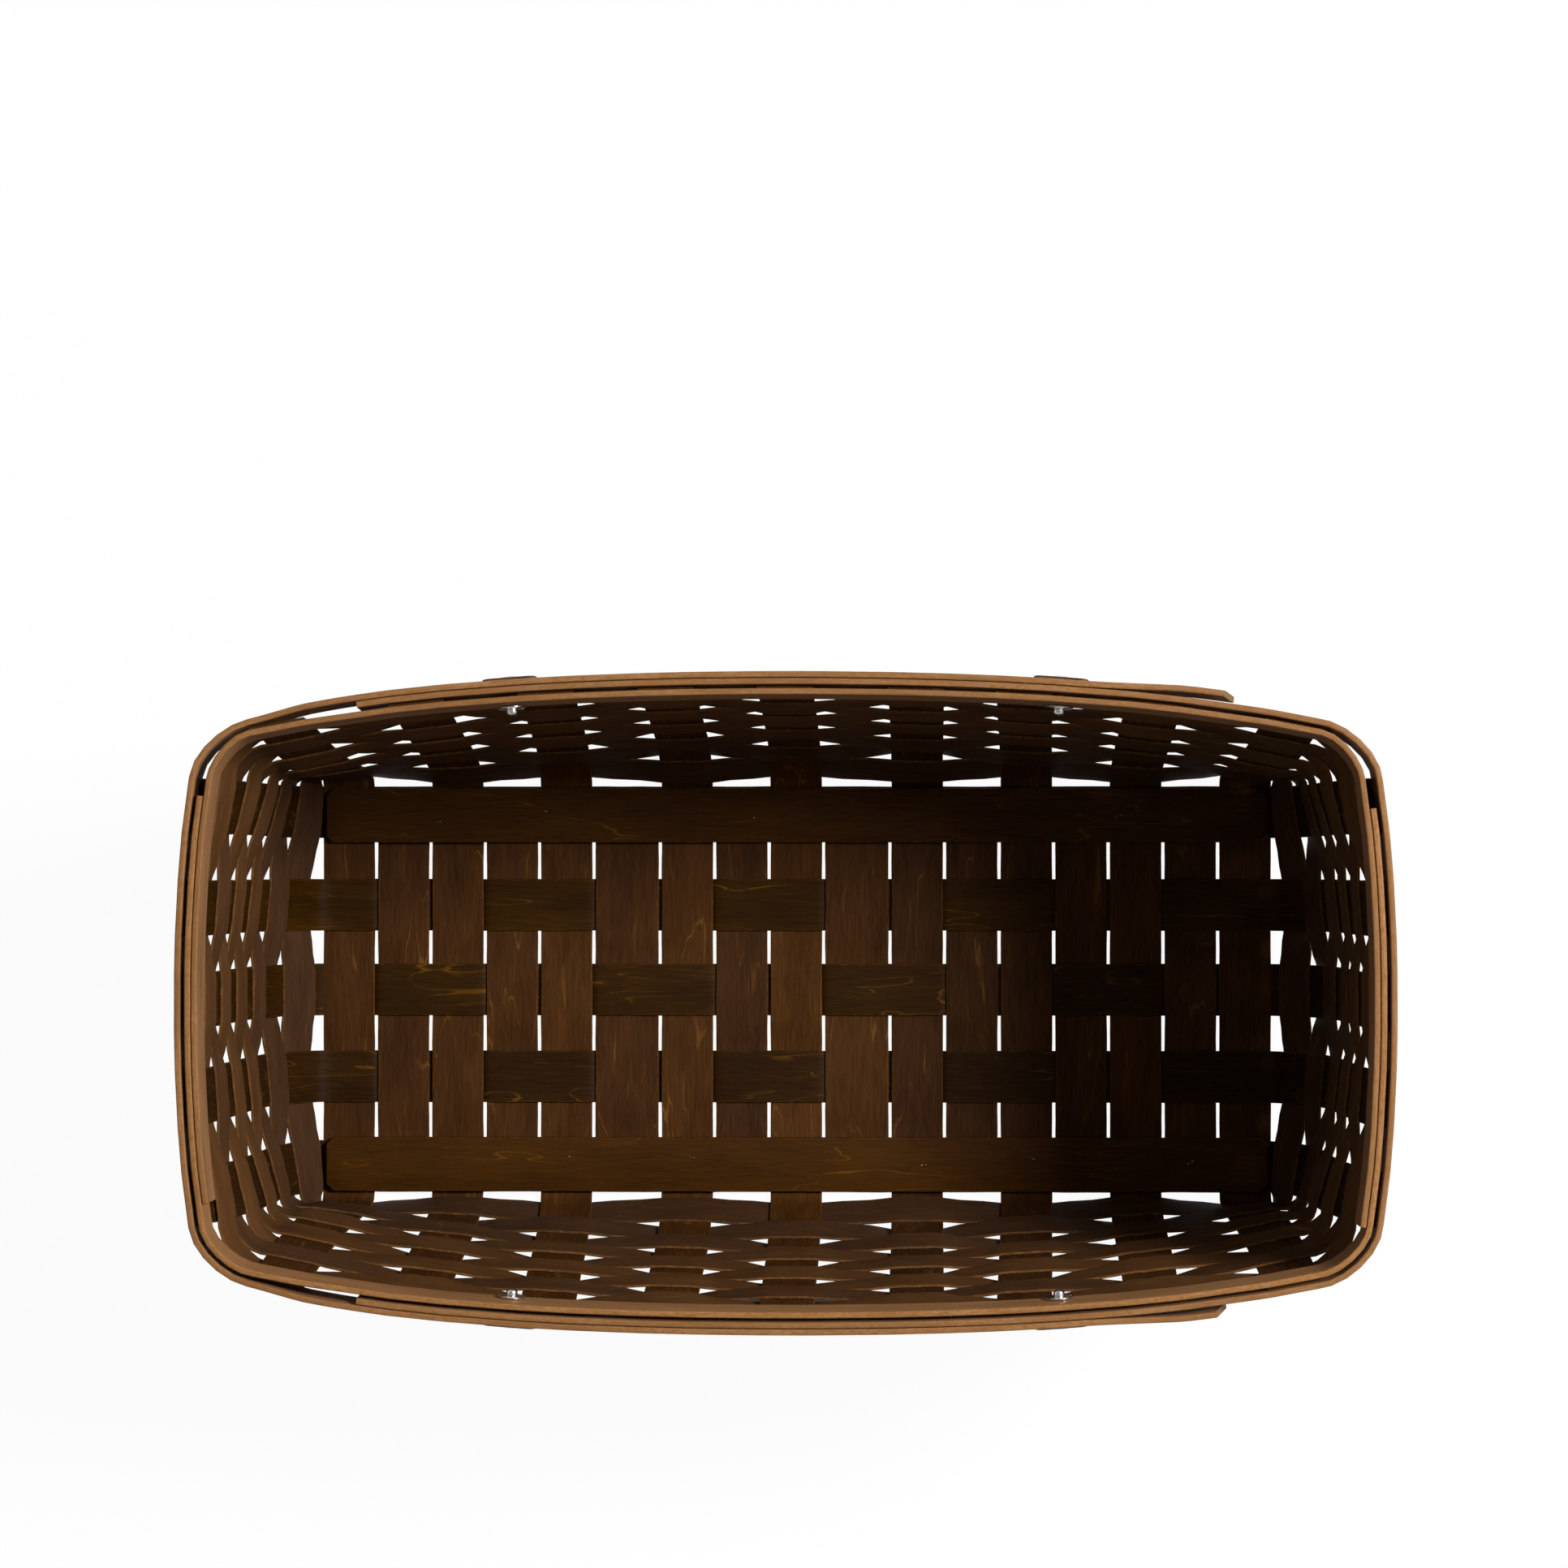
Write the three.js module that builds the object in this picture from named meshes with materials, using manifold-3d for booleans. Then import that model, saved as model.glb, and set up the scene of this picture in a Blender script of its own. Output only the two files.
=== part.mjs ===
// A tote basket woven from flat wood splints: a plaited base with two battens, walls of nine woven
// hoops round upright stakes, a doubled rim, and two riveted leather strap handles.
// Millimetres and radians. The origin is under the middle of the base, +X runs along the basket and
// +Z is up. "Out" is away from the middle of the basket. Going round means anticlockwise from above.

import * as THREE from "three";
import { mergeVertices } from "three/addons/utils/BufferGeometryUtils.js";
import Module from "manifold-3d";

const wasm = await Module();
wasm.setup();

// Splints
const play = 0.3; // clearance between pieces that touch
const splintThickness = 1.2;

// Base: cross splints run from front to back, long stakes run from end to end
const crossSplintCount = 17;
const crossSplintWidth = 25.2;
const wideFillerWidth = 31;
const wideFillerCounts = [6, 10]; // which cross splints these are, counted from the left end
const baseSlit = 1.54; // daylight between neighbouring cross splints
const longStakeWidth = 25.4;
const outerLongStakePlace = 87;
const longStakePlaceShares = [1, 0.478, 0, -0.49, -0.995]; // from back to front
const fillerSetback = 1; // the fillers end this far inside the base's edge

// Battens on the base, inside
const battenWidth = 26.5;
const battenThickness = 4.5;
const battenCornerCut = 3.5;
const battenEndSetback = 1.8;
const battenEdgeSetback = 1;

// Walls
const weaverCount = 9;
const weaverWidth = 23.6;
const courseGap = 0.58;
const footHeight = 3.2;
const footSideReach = 5.9; // from the base's edge to the foot of the wall
const footEndReach = 4.6;
const firstCourseRise = 23.8;
const sideFlare = 34.4; // from the foot of the wall to the top of the weaving
const endFlare = 28.6;
const sideTurnUpShare = 0.48;
const endTurnUpShare = 0.94;
const turnUpRiseShare = 0.114;
const rimSideBow = 14.7; // how far a side falls back between its middle and its last stake
const rimEndBow = 4.8;
const bellySideBow = 3;
const bellyEndBow = 6.5;
const sideBowRiseShare = 0.17;
const endBowRiseShare = 0.057;
const footBowlessShare = 0.5; // of an end's bow, what its foot does without
const sideSquareShare = 0.68;
const endSquareShare = 0.85;
const cornerStakeLean = 9.2; // how far a stake's top stands nearer the corner than its foot
const handleStakeLean = -5.3;
const endStakeLean = 1.6;
const cornerHandleShare = 0.34;
const rimCornerHandleShare = 0.3; // the rim strips cut the corners a little closer than the weavers
const cornerShares = [0.25, 0.5, 0.75];
const handleStakeCount = 5; // a handle is riveted beside this cross splint, counted from each end

// Rim
const rimWidth = 24.8;
const rimThickness = 2.8;
const rimJoggleHeight = 4.8; // from the top of the weaving to the foot of the rim
const joggleClearance = 0.8;
const rimSideStep = 0.6; // how far the stakes step out under the rim
const rimEndStep = 4.8;
const rimSideLean = 1.7;
const rimEndLean = 0.6;
const stakeTopSetback = 1;
const rightRimEndShare = 0.65; // the outer strips end in a gap, these shares of it going round at the front
const frontFreeEndShare = 0.44;
const backFreeEndShare = 0.54;
const freeEndStandOff = 2.3;
const freeEndBowShares = [0.1, 0.6]; // of the stand-off, at the two edges of the last stake
const frontRimStartShare = 0.31; // the inner strips end on a stake, these shares of it going round
const frontRimEndShare = 0.46;
const backRimEndShare = 0.6;

// Rivets and washers
const rivetFromStake = 4;
const rivetDrop = 18; // below the top of the rim
const rivetStemRadius = 1.5;
const rivetEndRadius = 2.6;
const rivetEndLength = 2.8;
const rivetHeadRadius = 4.6;
const rivetHeadLength = 1.9;
const washerRadius = 6.3;
const washerThickness = 1;
const domeShare = 0.7;
const drillOverrun = 1;
const roundSegments = 12;

// Handles
const strapWidth = 25;
const strapThickness = 2.2;
const tabTopDrop = 11.5; // below the top of the rim
const tabLength = 22.5;
const tabCornerRadius = 3;
const strapGap = 0.6; // between a tab and the strap that hangs from it
const handleDrop = 98;
const strapSegments = 24;
const curveDepthShare = 0.75; // a Bezier curve of this kind hangs this share of its control points' depth

// Colours
const woodColour = 0x4b2f1b;
const rimColour = 0x6d4526;
const leatherColour = 0x2a1a12;
const metalColour = 0xb8b6b0;
const woodRoughness = 0.75;
const rimRoughness = 0.7;
const leatherRoughness = 0.6;
const metalRoughness = 0.35;

const upward = new THREE.Vector3(0, 0, 1);
const basket = new THREE.Group();

// Derived sizes
const layer = (splintThickness + play) / 2; // a crossing splint lies this far above or below the middle
const baseMiddle = layer + splintThickness / 2;
const weaveOffset = splintThickness + play;
const baseTop = baseMiddle + layer + splintThickness / 2;

// Cross splints side by side, numbered from 1 at the left end. The odd ones turn up as stakes.
const crossSplints = [];
for (let number = 1; number <= crossSplintCount; number++) {
  const width = wideFillerCounts.includes(number) ? wideFillerWidth : crossSplintWidth;
  const before = crossSplints.at(-1);
  const start = before ? before.right + baseSlit : 0;
  crossSplints.push({ number, width, left: start, right: start + width });
}
const baseHalfLength = crossSplints.at(-1).right / 2;
for (const splint of crossSplints) {
  splint.left -= baseHalfLength;
  splint.right -= baseHalfLength;
  splint.place = (splint.left + splint.right) / 2;
}

// Long stakes, numbered from 0 at the back
const longStakes = longStakePlaceShares.map((share, row) => ({ row, place: share * outerLongStakePlace }));
const baseHalfWidth = outerLongStakePlace + longStakeWidth / 2;
const rowIsOnTop = (row, number) => (Math.floor(number / 2) + row) % 2 === 1;

// Heights
const firstCourseTop = footHeight + firstCourseRise;
const weaveTop = firstCourseTop + (weaverCount - 1) * (weaverWidth + courseGap);
const rimFoot = weaveTop + rimJoggleHeight;
const rimTop = rimFoot + rimWidth;
const courseTop = (course) =>
  course === 0 ? footHeight : firstCourseTop + (course - 1) * (weaverWidth + courseGap);

// The outline of the walls' middle surface at a height
function wallLevel(z) {
  const rise = (z - footHeight) / (weaveTop - footHeight);
  const turnUp = 1 - Math.exp(-rise / turnUpRiseShare);
  const belly = Math.sin(Math.PI * rise);
  return {
    z,
    halfWidth:
      baseHalfWidth + footSideReach + sideFlare * THREE.MathUtils.lerp(rise, turnUp, sideTurnUpShare),
    halfLength:
      baseHalfLength + footEndReach + endFlare * THREE.MathUtils.lerp(rise ** 2, turnUp, endTurnUpShare),
    sideBow: rimSideBow * (1 - Math.exp(-rise / sideBowRiseShare)) + bellySideBow * belly,
    endBow: rimEndBow * (1 - footBowlessShare * Math.exp(-rise / endBowRiseShare)) + bellyEndBow * belly,
  };
}

// The outline of the stakes inside the rim
function rimLevel(z) {
  const weave = wallLevel(weaveTop);
  const rise = (z - rimFoot) / rimWidth;
  return {
    z,
    halfWidth: weave.halfWidth + rimSideStep + rise * rimSideLean,
    halfLength: weave.halfLength + rimEndStep + rise * rimEndLean,
    sideBow: weave.sideBow,
    endBow: weave.endBow,
  };
}

const courseLevels = Array.from({ length: weaverCount + 1 }, (_, course) => wallLevel(courseTop(course)));
const rimFootLevel = rimLevel(rimFoot);
const rimTopLevel = rimLevel(rimTop);

// The four sides, going round from the front. Each is drawn as a front and turned into its place.
const longSide = {
  half: "halfWidth",
  bow: "sideBow",
  reach: crossSplints.at(-1).place,
  squareShare: sideSquareShare,
};
const endSide = {
  half: "halfLength",
  bow: "endBow",
  reach: outerLongStakePlace,
  squareShare: endSquareShare,
};
const [front, right, back, left] = [longSide, endSide, longSide, endSide].map((side, index) => ({
  ...side,
  turn: (index * Math.PI) / 2,
}));

// A point on a side at a level, with the direction going round there
function sidePoint(side, level, s) {
  const u = s / side.reach;
  const bow = level[side.bow];
  const square = side.squareShare;
  const out = level[side.half] - bow * (square * u ** 2 + (1 - square) * u ** 4);
  const slope = (bow / side.reach) * (2 * square * u + 4 * (1 - square) * u ** 3);
  return {
    point: new THREE.Vector3(s, -out, level.z).applyAxisAngle(upward, side.turn),
    along: new THREE.Vector3(1, slope, 0).normalize().applyAxisAngle(upward, side.turn),
  };
}

// The upright stakes, going round from the left end of the front
const stakeNumbers = crossSplints.filter((splint) => splint.number % 2 === 1);
const cornerNumbers = [1, crossSplintCount];
const handleNumbers = [handleStakeCount, crossSplintCount + 1 - handleStakeCount];
function crossStakeLean(number, place) {
  if (cornerNumbers.includes(number)) return Math.sign(place) * cornerStakeLean;
  if (handleNumbers.includes(number)) return Math.sign(place) * handleStakeLean;
  return 0;
}
const sideStakes = (side, facing) =>
  stakeNumbers.map(({ number, place }) => ({
    side,
    width: crossSplintWidth,
    key: number,
    place: facing * place,
    lean: crossStakeLean(number, facing * place),
  }));
const endStakes = (side, facing) =>
  longStakes.map(({ row, place }) => ({
    side,
    width: longStakeWidth,
    key: row,
    place: facing * place,
    lean: endStakeLean * (place / outerLongStakePlace) * facing,
  }));
const wallStakes = [
  ...sideStakes(front, 1),
  ...endStakes(right, 1).reverse(),
  ...sideStakes(back, -1).reverse(),
  ...endStakes(left, -1),
];
const stakeOn = (side, key) => wallStakes.find((stake) => stake.side === side && stake.key === key);

// The middle of a stake at a level, or one of its edges where end is -1 or 1
function stakeAt(stake, level, end) {
  const rise = (level.z - footHeight) / (rimTop - footHeight);
  const here = sidePoint(stake.side, level, stake.place + stake.lean * rise);
  here.point.addScaledVector(here.along, (end * stake.width) / 2);
  return here;
}

// Places round the basket. Each gives its point and direction at a level.
const stakeEdge = (stake, end) => (level) => stakeAt(stake, level, end);
const placeBetween = (first, second, share) => (level) => {
  const from = first(level);
  const to = second(level);
  return { point: from.point.lerp(to.point, share), along: from.along.lerp(to.along, share).normalize() };
};
const placeRoundCorner = (first, second, share, handleShare) => (level) => {
  const from = first(level);
  const to = second(level);
  const reach = handleShare * from.point.distanceTo(to.point);
  const bend = new THREE.CubicBezierCurve3(
    from.point,
    from.point.clone().addScaledVector(from.along, reach),
    to.point.clone().addScaledVector(to.along, -reach),
    to.point,
  );
  return { point: bend.getPoint(share), along: bend.getTangent(share) };
};

// Every place from one stake to another going round. A phase counts stakes, so 28 is the first again.
function placesRound(firstStake, lastStake, handleShare) {
  const places = [];
  for (let index = firstStake; index <= lastStake; index++) {
    const stake = wallStakes[index % wallStakes.length];
    const next = wallStakes[(index + 1) % wallStakes.length];
    places.push({ at: stakeEdge(stake, -1), phase: index }, { at: stakeEdge(stake, 1), phase: index });
    if (index < lastStake && next.side !== stake.side)
      for (const share of cornerShares)
        places.push({
          at: placeRoundCorner(stakeEdge(stake, 1), stakeEdge(next, -1), share, handleShare),
          phase: index + share,
        });
  }
  return places;
}

// Strips. A station has a centre and two half-size vectors, across the strip and through it, and the
// path's direction crossed with the first points along the second.
function stripGeometry(stations, closed) {
  const corners = [
    [-1, -1],
    [-1, 1],
    [1, 1],
    [1, -1],
  ];
  const positions = [];
  for (const { centre, across, through } of stations)
    for (const [a, t] of corners)
      positions.push(...centre.clone().addScaledVector(across, a).addScaledVector(through, t).toArray());
  const triangles = [];
  const quad = (a, b, c, d) => triangles.push(a, b, c, a, c, d);
  const runs = closed ? stations.length : stations.length - 1;
  for (let run = 0; run < runs; run++) {
    const here = run * corners.length;
    const there = ((run + 1) % stations.length) * corners.length;
    corners.forEach((_, c) => {
      const d = (c + 1) % corners.length;
      quad(here + c, there + c, there + d, here + d);
    });
  }
  if (!closed) {
    const ring = [...corners.keys()];
    const last = runs * corners.length;
    quad(...ring);
    quad(...ring.reverse().map((c) => last + c));
  }
  return new THREE.BufferGeometry()
    .setAttribute("position", new THREE.Float32BufferAttribute(positions, 3))
    .setIndex(triangles);
}

// A station of a hoop that lies between two levels, its top edge a gap below the upper one
function hoopStation(at, lower, upper, { width, thickness, topGap, offset }) {
  const low = at(lower);
  const high = at(upper);
  const rise = high.point.clone().sub(low.point).normalize();
  const along = low.along.clone().add(high.along).normalize();
  const out = along.cross(rise).normalize();
  const centre = high.point
    .clone()
    .addScaledVector(rise, -topGap - width / 2)
    .addScaledVector(out, offset);
  return {
    centre,
    across: rise.multiplyScalar(width / 2),
    through: out.multiplyScalar(thickness / 2),
  };
}

function addMesh(name, geometry, colour, roughness, metalness = 0) {
  const material = new THREE.MeshStandardMaterial({ color: colour, roughness, metalness, flatShading: true });
  const mesh = new THREE.Mesh(geometry, material);
  mesh.name = name;
  basket.add(mesh);
  return mesh;
}

const addWood = (name, geometry) => addMesh(name, geometry, woodColour, woodRoughness);

// The base: flat stretches above or below the crossing pieces, with a step wherever it changes sides
function baseStations(crossings, { place, width, turn }) {
  const across = new THREE.Vector3(width / 2, 0, 0).applyAxisAngle(upward, turn);
  const through = new THREE.Vector3(0, 0, -splintThickness / 2);
  const station = (run, onTop) => ({
    centre: new THREE.Vector3(place, run, baseMiddle + (onTop ? layer : -layer)).applyAxisAngle(upward, turn),
    across: across.clone(),
    through: through.clone(),
  });
  return crossings.flatMap((crossing, index) => {
    const before = crossings[index - 1];
    const after = crossings[index + 1];
    const found = [];
    if (!before || before.onTop !== crossing.onTop) found.push(station(crossing.from, crossing.onTop));
    if (!after || after.onTop !== crossing.onTop) found.push(station(crossing.to, crossing.onTop));
    return found;
  });
}

// A stake's stations on one wall, from its foot to its top
function wallStations(stake, foot, facing) {
  const levels = [
    ...courseLevels,
    rimLevel(rimFoot - joggleClearance),
    rimLevel(rimTop - stakeTopSetback),
  ];
  const stations = levels.map((level) => {
    const { point, along } = stakeAt(stake, level, 0);
    return { centre: point, across: along.multiplyScalar((facing * stake.width) / 2) };
  });
  stations.forEach((station, index) => {
    const before = index ? stations[index - 1].centre : foot.centre;
    const after = stations[index + 1]?.centre ?? station.centre.clone().sub(before).add(station.centre);
    const normal = (from, to) => to.clone().sub(from).cross(station.across).normalize();
    const below = normal(before, station.centre);
    const middle = below.clone().add(normal(station.centre, after)).normalize();
    station.through = middle.multiplyScalar(splintThickness / 2 / middle.dot(below));
  });
  return stations;
}

// A stake that runs up one wall, across the base and up the wall opposite
function stakeGeometry(first, last, base) {
  const down = wallStations(first, base[0], 1).reverse();
  for (const station of down) station.through.negate();
  return stripGeometry([...down, ...base, ...wallStations(last, base.at(-1), -1)], false);
}

const rowsFromFront = [...longStakes].reverse();
for (const splint of crossSplints) {
  const isStake = splint.number % 2 === 1;
  const crossings = rowsFromFront.map(({ row, place }) => ({
    from: place - longStakeWidth / 2,
    to: place + longStakeWidth / 2,
    onTop: !rowIsOnTop(row, splint.number),
  }));
  const run = { place: splint.place, width: splint.width, turn: 0 };
  const two = String(splint.number).padStart(2, "0");
  if (isStake) {
    const walls = [stakeOn(front, splint.number), stakeOn(back, splint.number)];
    addWood(`cross_stake_${two}`, stakeGeometry(...walls, baseStations(crossings, run)));
  } else {
    crossings[0].from = -(baseHalfWidth - fillerSetback);
    crossings.at(-1).to = baseHalfWidth - fillerSetback;
    addWood(`base_filler_${two}`, stripGeometry(baseStations(crossings, run), false));
  }
}

for (const { row, place } of longStakes) {
  const crossings = crossSplints.map((splint) => ({
    from: splint.left,
    to: splint.right,
    onTop: rowIsOnTop(row, splint.number),
  }));
  const run = { place: -place, width: longStakeWidth, turn: -Math.PI / 2 };
  const walls = [stakeOn(left, row), stakeOn(right, row)];
  addWood(`long_stake_${row + 1}`, stakeGeometry(...walls, baseStations(crossings, run)));
}

// Battens
const battenLength = 2 * (baseHalfLength - battenEndSetback);
function battenGeometry() {
  const [x, y] = [battenLength / 2, battenWidth / 2];
  const cut = battenCornerCut;
  const outline = new THREE.Shape([
    new THREE.Vector2(x - cut, -y),
    new THREE.Vector2(x, cut - y),
    new THREE.Vector2(x, y - cut),
    new THREE.Vector2(x - cut, y),
    new THREE.Vector2(cut - x, y),
    new THREE.Vector2(-x, y - cut),
    new THREE.Vector2(-x, cut - y),
    new THREE.Vector2(cut - x, -y),
  ]);
  return new THREE.ExtrudeGeometry(outline, { depth: battenThickness, bevelEnabled: false });
}
for (const [name, facing] of [
  ["base_batten_back", 1],
  ["base_batten_front", -1],
]) {
  const batten = addWood(name, battenGeometry());
  const place = baseHalfWidth - battenEdgeSetback - battenWidth / 2;
  batten.position.set(0, facing * place, baseTop + play);
}

// Weavers: neighbouring ones pass outside and inside of the stakes in turn
for (let course = 0; course < weaverCount; course++) {
  const [lower, upper] = [courseLevels[course], courseLevels[course + 1]];
  const stations = placesRound(0, wallStakes.length, cornerHandleShare)
    .slice(0, -2)
    .map(({ at, phase }) => {
      const stake = Math.floor(phase);
      const swing = (1 - 2 * (phase - stake)) * (-1) ** (stake + course);
      return hoopStation(at, lower, upper, {
        width: weaverWidth,
        thickness: splintThickness,
        topGap: courseGap / 2,
        offset: swing * weaveOffset,
      });
    });
  addWood(`weaver_${course + 1}`, stripGeometry(stations, true));
}

// Layers of the rim, numbered from the stakes. The inner ones have negative numbers.
function rimLayerOffset(number) {
  const layersBetween = Math.abs(number) - 1;
  const reach = splintThickness / 2 + play + rimThickness / 2 + layersBetween * (rimThickness + play);
  return Math.sign(number) * reach;
}
const rimOutside = rimLayerOffset(2) + rimThickness / 2;
const rimInside = rimLayerOffset(-1) - rimThickness / 2;

// Rivets stand in the gaps just outside the handle stakes, square to the rim. The matrix of one has X
// going round, Y up the rim and Z out.
function rivetMatrix(stake) {
  const end = Math.sign(stake.place);
  const next = wallStakes[wallStakes.indexOf(stake) + end];
  const [low, high] = [rimFootLevel, rimTopLevel].map((level) => {
    const from = stakeAt(stake, level, end).point;
    const along = stakeAt(next, level, -end).point.sub(from).setLength(end);
    return { point: from.addScaledVector(along, end * rivetFromStake), along };
  });
  const out = high.along.clone().cross(high.point.clone().sub(low.point)).normalize();
  const rise = out.clone().cross(high.along);
  const point = high.point.addScaledVector(rise, -rivetDrop / rise.z);
  return new THREE.Matrix4().makeBasis(high.along, rise, out).setPosition(point);
}
const handles = [
  { name: "front", side: front, ends: ["left", "right"] },
  { name: "back", side: back, ends: ["right", "left"] },
];
for (const handle of handles)
  handle.rivets = wallStakes
    .filter(({ side, key }) => side === handle.side && handleNumbers.includes(key))
    .map(rivetMatrix);

// Holes for the rivets
function solidOf(geometry) {
  const bare = geometry.clone();
  bare.deleteAttribute("normal");
  bare.deleteAttribute("uv");
  const merged = mergeVertices(bare);
  const vertProperties = merged.attributes.position.array;
  const triVerts = new Uint32Array(merged.index.array);
  return new wasm.Manifold(new wasm.Mesh({ numProp: 3, vertProperties, triVerts }));
}
const holeRadius = rivetStemRadius + play;
const drillLength = 2 * (rimOutside + drillOverrun);
const drill = new THREE.CylinderGeometry(holeRadius, holeRadius, drillLength, roundSegments);
drill.rotateX(Math.PI / 2);
function drilled(geometry) {
  let solid = solidOf(geometry);
  for (const matrix of handles.flatMap((handle) => handle.rivets))
    solid = solid.subtract(solidOf(drill.clone().applyMatrix4(matrix)));
  const { vertProperties, triVerts } = solid.getMesh();
  return new THREE.BufferGeometry()
    .setAttribute("position", new THREE.BufferAttribute(vertProperties, 3))
    .setIndex(new THREE.BufferAttribute(triVerts, 1));
}

// The rim. Each place of a strip has the number of the layer that the strip lies in there.
const indexOf = (side, key) => wallStakes.indexOf(stakeOn(side, key));
const edgeOf = (index, end) => stakeEdge(wallStakes[index % wallStakes.length], end);
const inGap = (index, share) => ({ at: placeBetween(edgeOf(index, 1), edgeOf(index + 1, -1), share) });
const rimPlaces = (first, last) => placesRound(first, last, rimCornerHandleShare);
const onStake = (index, share) => ({ at: placeBetween(edgeOf(index, -1), edgeOf(index, 1), share) });
const inLayer = (layerNumber, ...places) => places.map(({ at }) => ({ at, layerNumber }));
function addRimStrip(name, places) {
  const stations = places.map(({ at, layerNumber, standOff = 0 }) =>
    hoopStation(at, rimFootLevel, rimTopLevel, {
      width: rimWidth,
      thickness: rimThickness,
      topGap: 0,
      offset: rimLayerOffset(layerNumber) + standOff,
    }),
  );
  addMesh(name, drilled(stripGeometry(stations, false)), rimColour, rimRoughness);
}

// The outer strips: the right one ends near the left corners, and the left one lies over its ends
const fullTurn = wallStakes.length;
const lastNumber = crossSplintCount;
const frontRightEnd = inGap(indexOf(front, 1), rightRimEndShare);
const backRightEnd = inGap(indexOf(back, 3), 1 - rightRimEndShare);
addRimStrip("outer_rim_right", [
  ...inLayer(1, frontRightEnd, ...rimPlaces(indexOf(front, 3), indexOf(back, 3)), backRightEnd),
]);

// The left outer strip's free ends bow out past the last stake but one
function freeEnd(index, end, gapPlace) {
  const bow = [...freeEndBowShares, 1];
  const places = [{ at: edgeOf(index, -end) }, { at: edgeOf(index, end) }, gapPlace];
  return places.map(({ at }, place) => ({ at, layerNumber: 2, standOff: bow[place] * freeEndStandOff }));
}
const frontFreeStake = indexOf(front, lastNumber - 2);
const backFreeStake = indexOf(back, lastNumber - 2);
addRimStrip("outer_rim_left", [
  ...freeEnd(backFreeStake, -1, inGap(backFreeStake - 1, 1 - backFreeEndShare)).reverse(),
  ...inLayer(2, ...rimPlaces(backFreeStake + 1, indexOf(back, 3)), backRightEnd),
  ...inLayer(1, ...rimPlaces(indexOf(back, 1), fullTurn)),
  ...inLayer(2, frontRightEnd, ...rimPlaces(fullTurn + 1, fullTurn + frontFreeStake - 1)),
  ...freeEnd(frontFreeStake, 1, inGap(frontFreeStake, frontFreeEndShare)),
]);

// The inner strips: the front one lies against the end stakes, and the back one inside of its ends
const leftEndStart = indexOf(left, 0);
const leftEndFinish = indexOf(left, longStakes.length - 1);
const rightEndStart = indexOf(right, longStakes.length - 1);
const rightEndFinish = indexOf(right, 0);
addRimStrip("inner_rim_front", [
  ...inLayer(-1, onStake(leftEndStart, frontRimStartShare), { at: edgeOf(leftEndStart, 1) }),
  ...inLayer(-1, ...rimPlaces(leftEndStart + 1, fullTurn + rightEndFinish - 1)),
  ...inLayer(-1, { at: edgeOf(rightEndFinish, -1) }, onStake(rightEndFinish, frontRimEndShare)),
]);
function cornerPlaces(index, firstLayer, lastLayer) {
  return rimPlaces(index, index + 1)
    .slice(2, -2)
    .map(({ at, phase }) => ({
      at,
      layerNumber: firstLayer,
      standOff: (phase - index) * (rimLayerOffset(lastLayer) - rimLayerOffset(firstLayer)),
    }));
}
addRimStrip("inner_rim_back", [
  ...inLayer(-2, ...rimPlaces(rightEndStart, rightEndFinish)),
  ...cornerPlaces(rightEndFinish, -2, -1),
  ...inLayer(-1, ...rimPlaces(indexOf(back, lastNumber), indexOf(back, 1))),
  ...cornerPlaces(indexOf(back, 1), -1, -2),
  ...inLayer(-2, ...rimPlaces(leftEndStart, leftEndFinish - 1)),
  ...inLayer(-2, { at: edgeOf(leftEndFinish, -1) }, onStake(leftEndFinish, backRimEndShare)),
]);

// Rivets and washers, turned round the rivet's axis with the inner end first
function placeByMatrix(mesh, matrix) {
  mesh.quaternion.setFromRotationMatrix(matrix);
  mesh.position.setFromMatrixPosition(matrix);
}
function turned(points) {
  const profile = points.map(([radius, place]) => new THREE.Vector2(radius, place));
  return new THREE.LatheGeometry(profile, roundSegments).rotateX(Math.PI / 2);
}
const tabInside = rimOutside + play;
const tabOutside = tabInside + strapThickness;
const washerOutside = rimInside - play;
const washerInside = washerOutside - washerThickness;
function rivetGeometry() {
  const endFace = washerInside - play;
  const headFace = tabOutside + play;
  return turned([
    [0, endFace - rivetEndLength],
    [rivetEndRadius * domeShare, endFace - rivetEndLength],
    [rivetEndRadius, endFace - rivetEndLength * domeShare],
    [rivetEndRadius, endFace],
    [rivetStemRadius, endFace],
    [rivetStemRadius, headFace],
    [rivetHeadRadius, headFace],
    [rivetHeadRadius * domeShare, headFace + rivetHeadLength * domeShare],
    [0, headFace + rivetHeadLength],
  ]);
}
function washerGeometry() {
  return turned([
    [holeRadius, washerInside],
    [washerRadius, washerInside],
    [washerRadius, washerOutside],
    [holeRadius, washerOutside],
    [holeRadius, washerInside],
  ]);
}

// Handle tabs: the riveted ends of the leather, with their upper corners rounded
const tabTop = rivetDrop - tabTopDrop;
const tabBottom = tabTop - tabLength;
function tabGeometry() {
  const side = strapWidth / 2;
  const outline = new THREE.Shape();
  outline.moveTo(-side, tabBottom);
  outline.lineTo(side, tabBottom);
  outline.lineTo(side, tabTop - tabCornerRadius);
  outline.absarc(side - tabCornerRadius, tabTop - tabCornerRadius, tabCornerRadius, 0, Math.PI / 2);
  outline.absarc(tabCornerRadius - side, tabTop - tabCornerRadius, tabCornerRadius, Math.PI / 2, Math.PI);
  outline.closePath();
  outline.holes.push(new THREE.Path().absarc(0, 0, holeRadius, 0, 2 * Math.PI, true));
  return new THREE.ExtrudeGeometry(outline, {
    depth: strapThickness,
    bevelEnabled: false,
    curveSegments: roundSegments / 4,
  }).translate(0, 0, tabInside);
}

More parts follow.
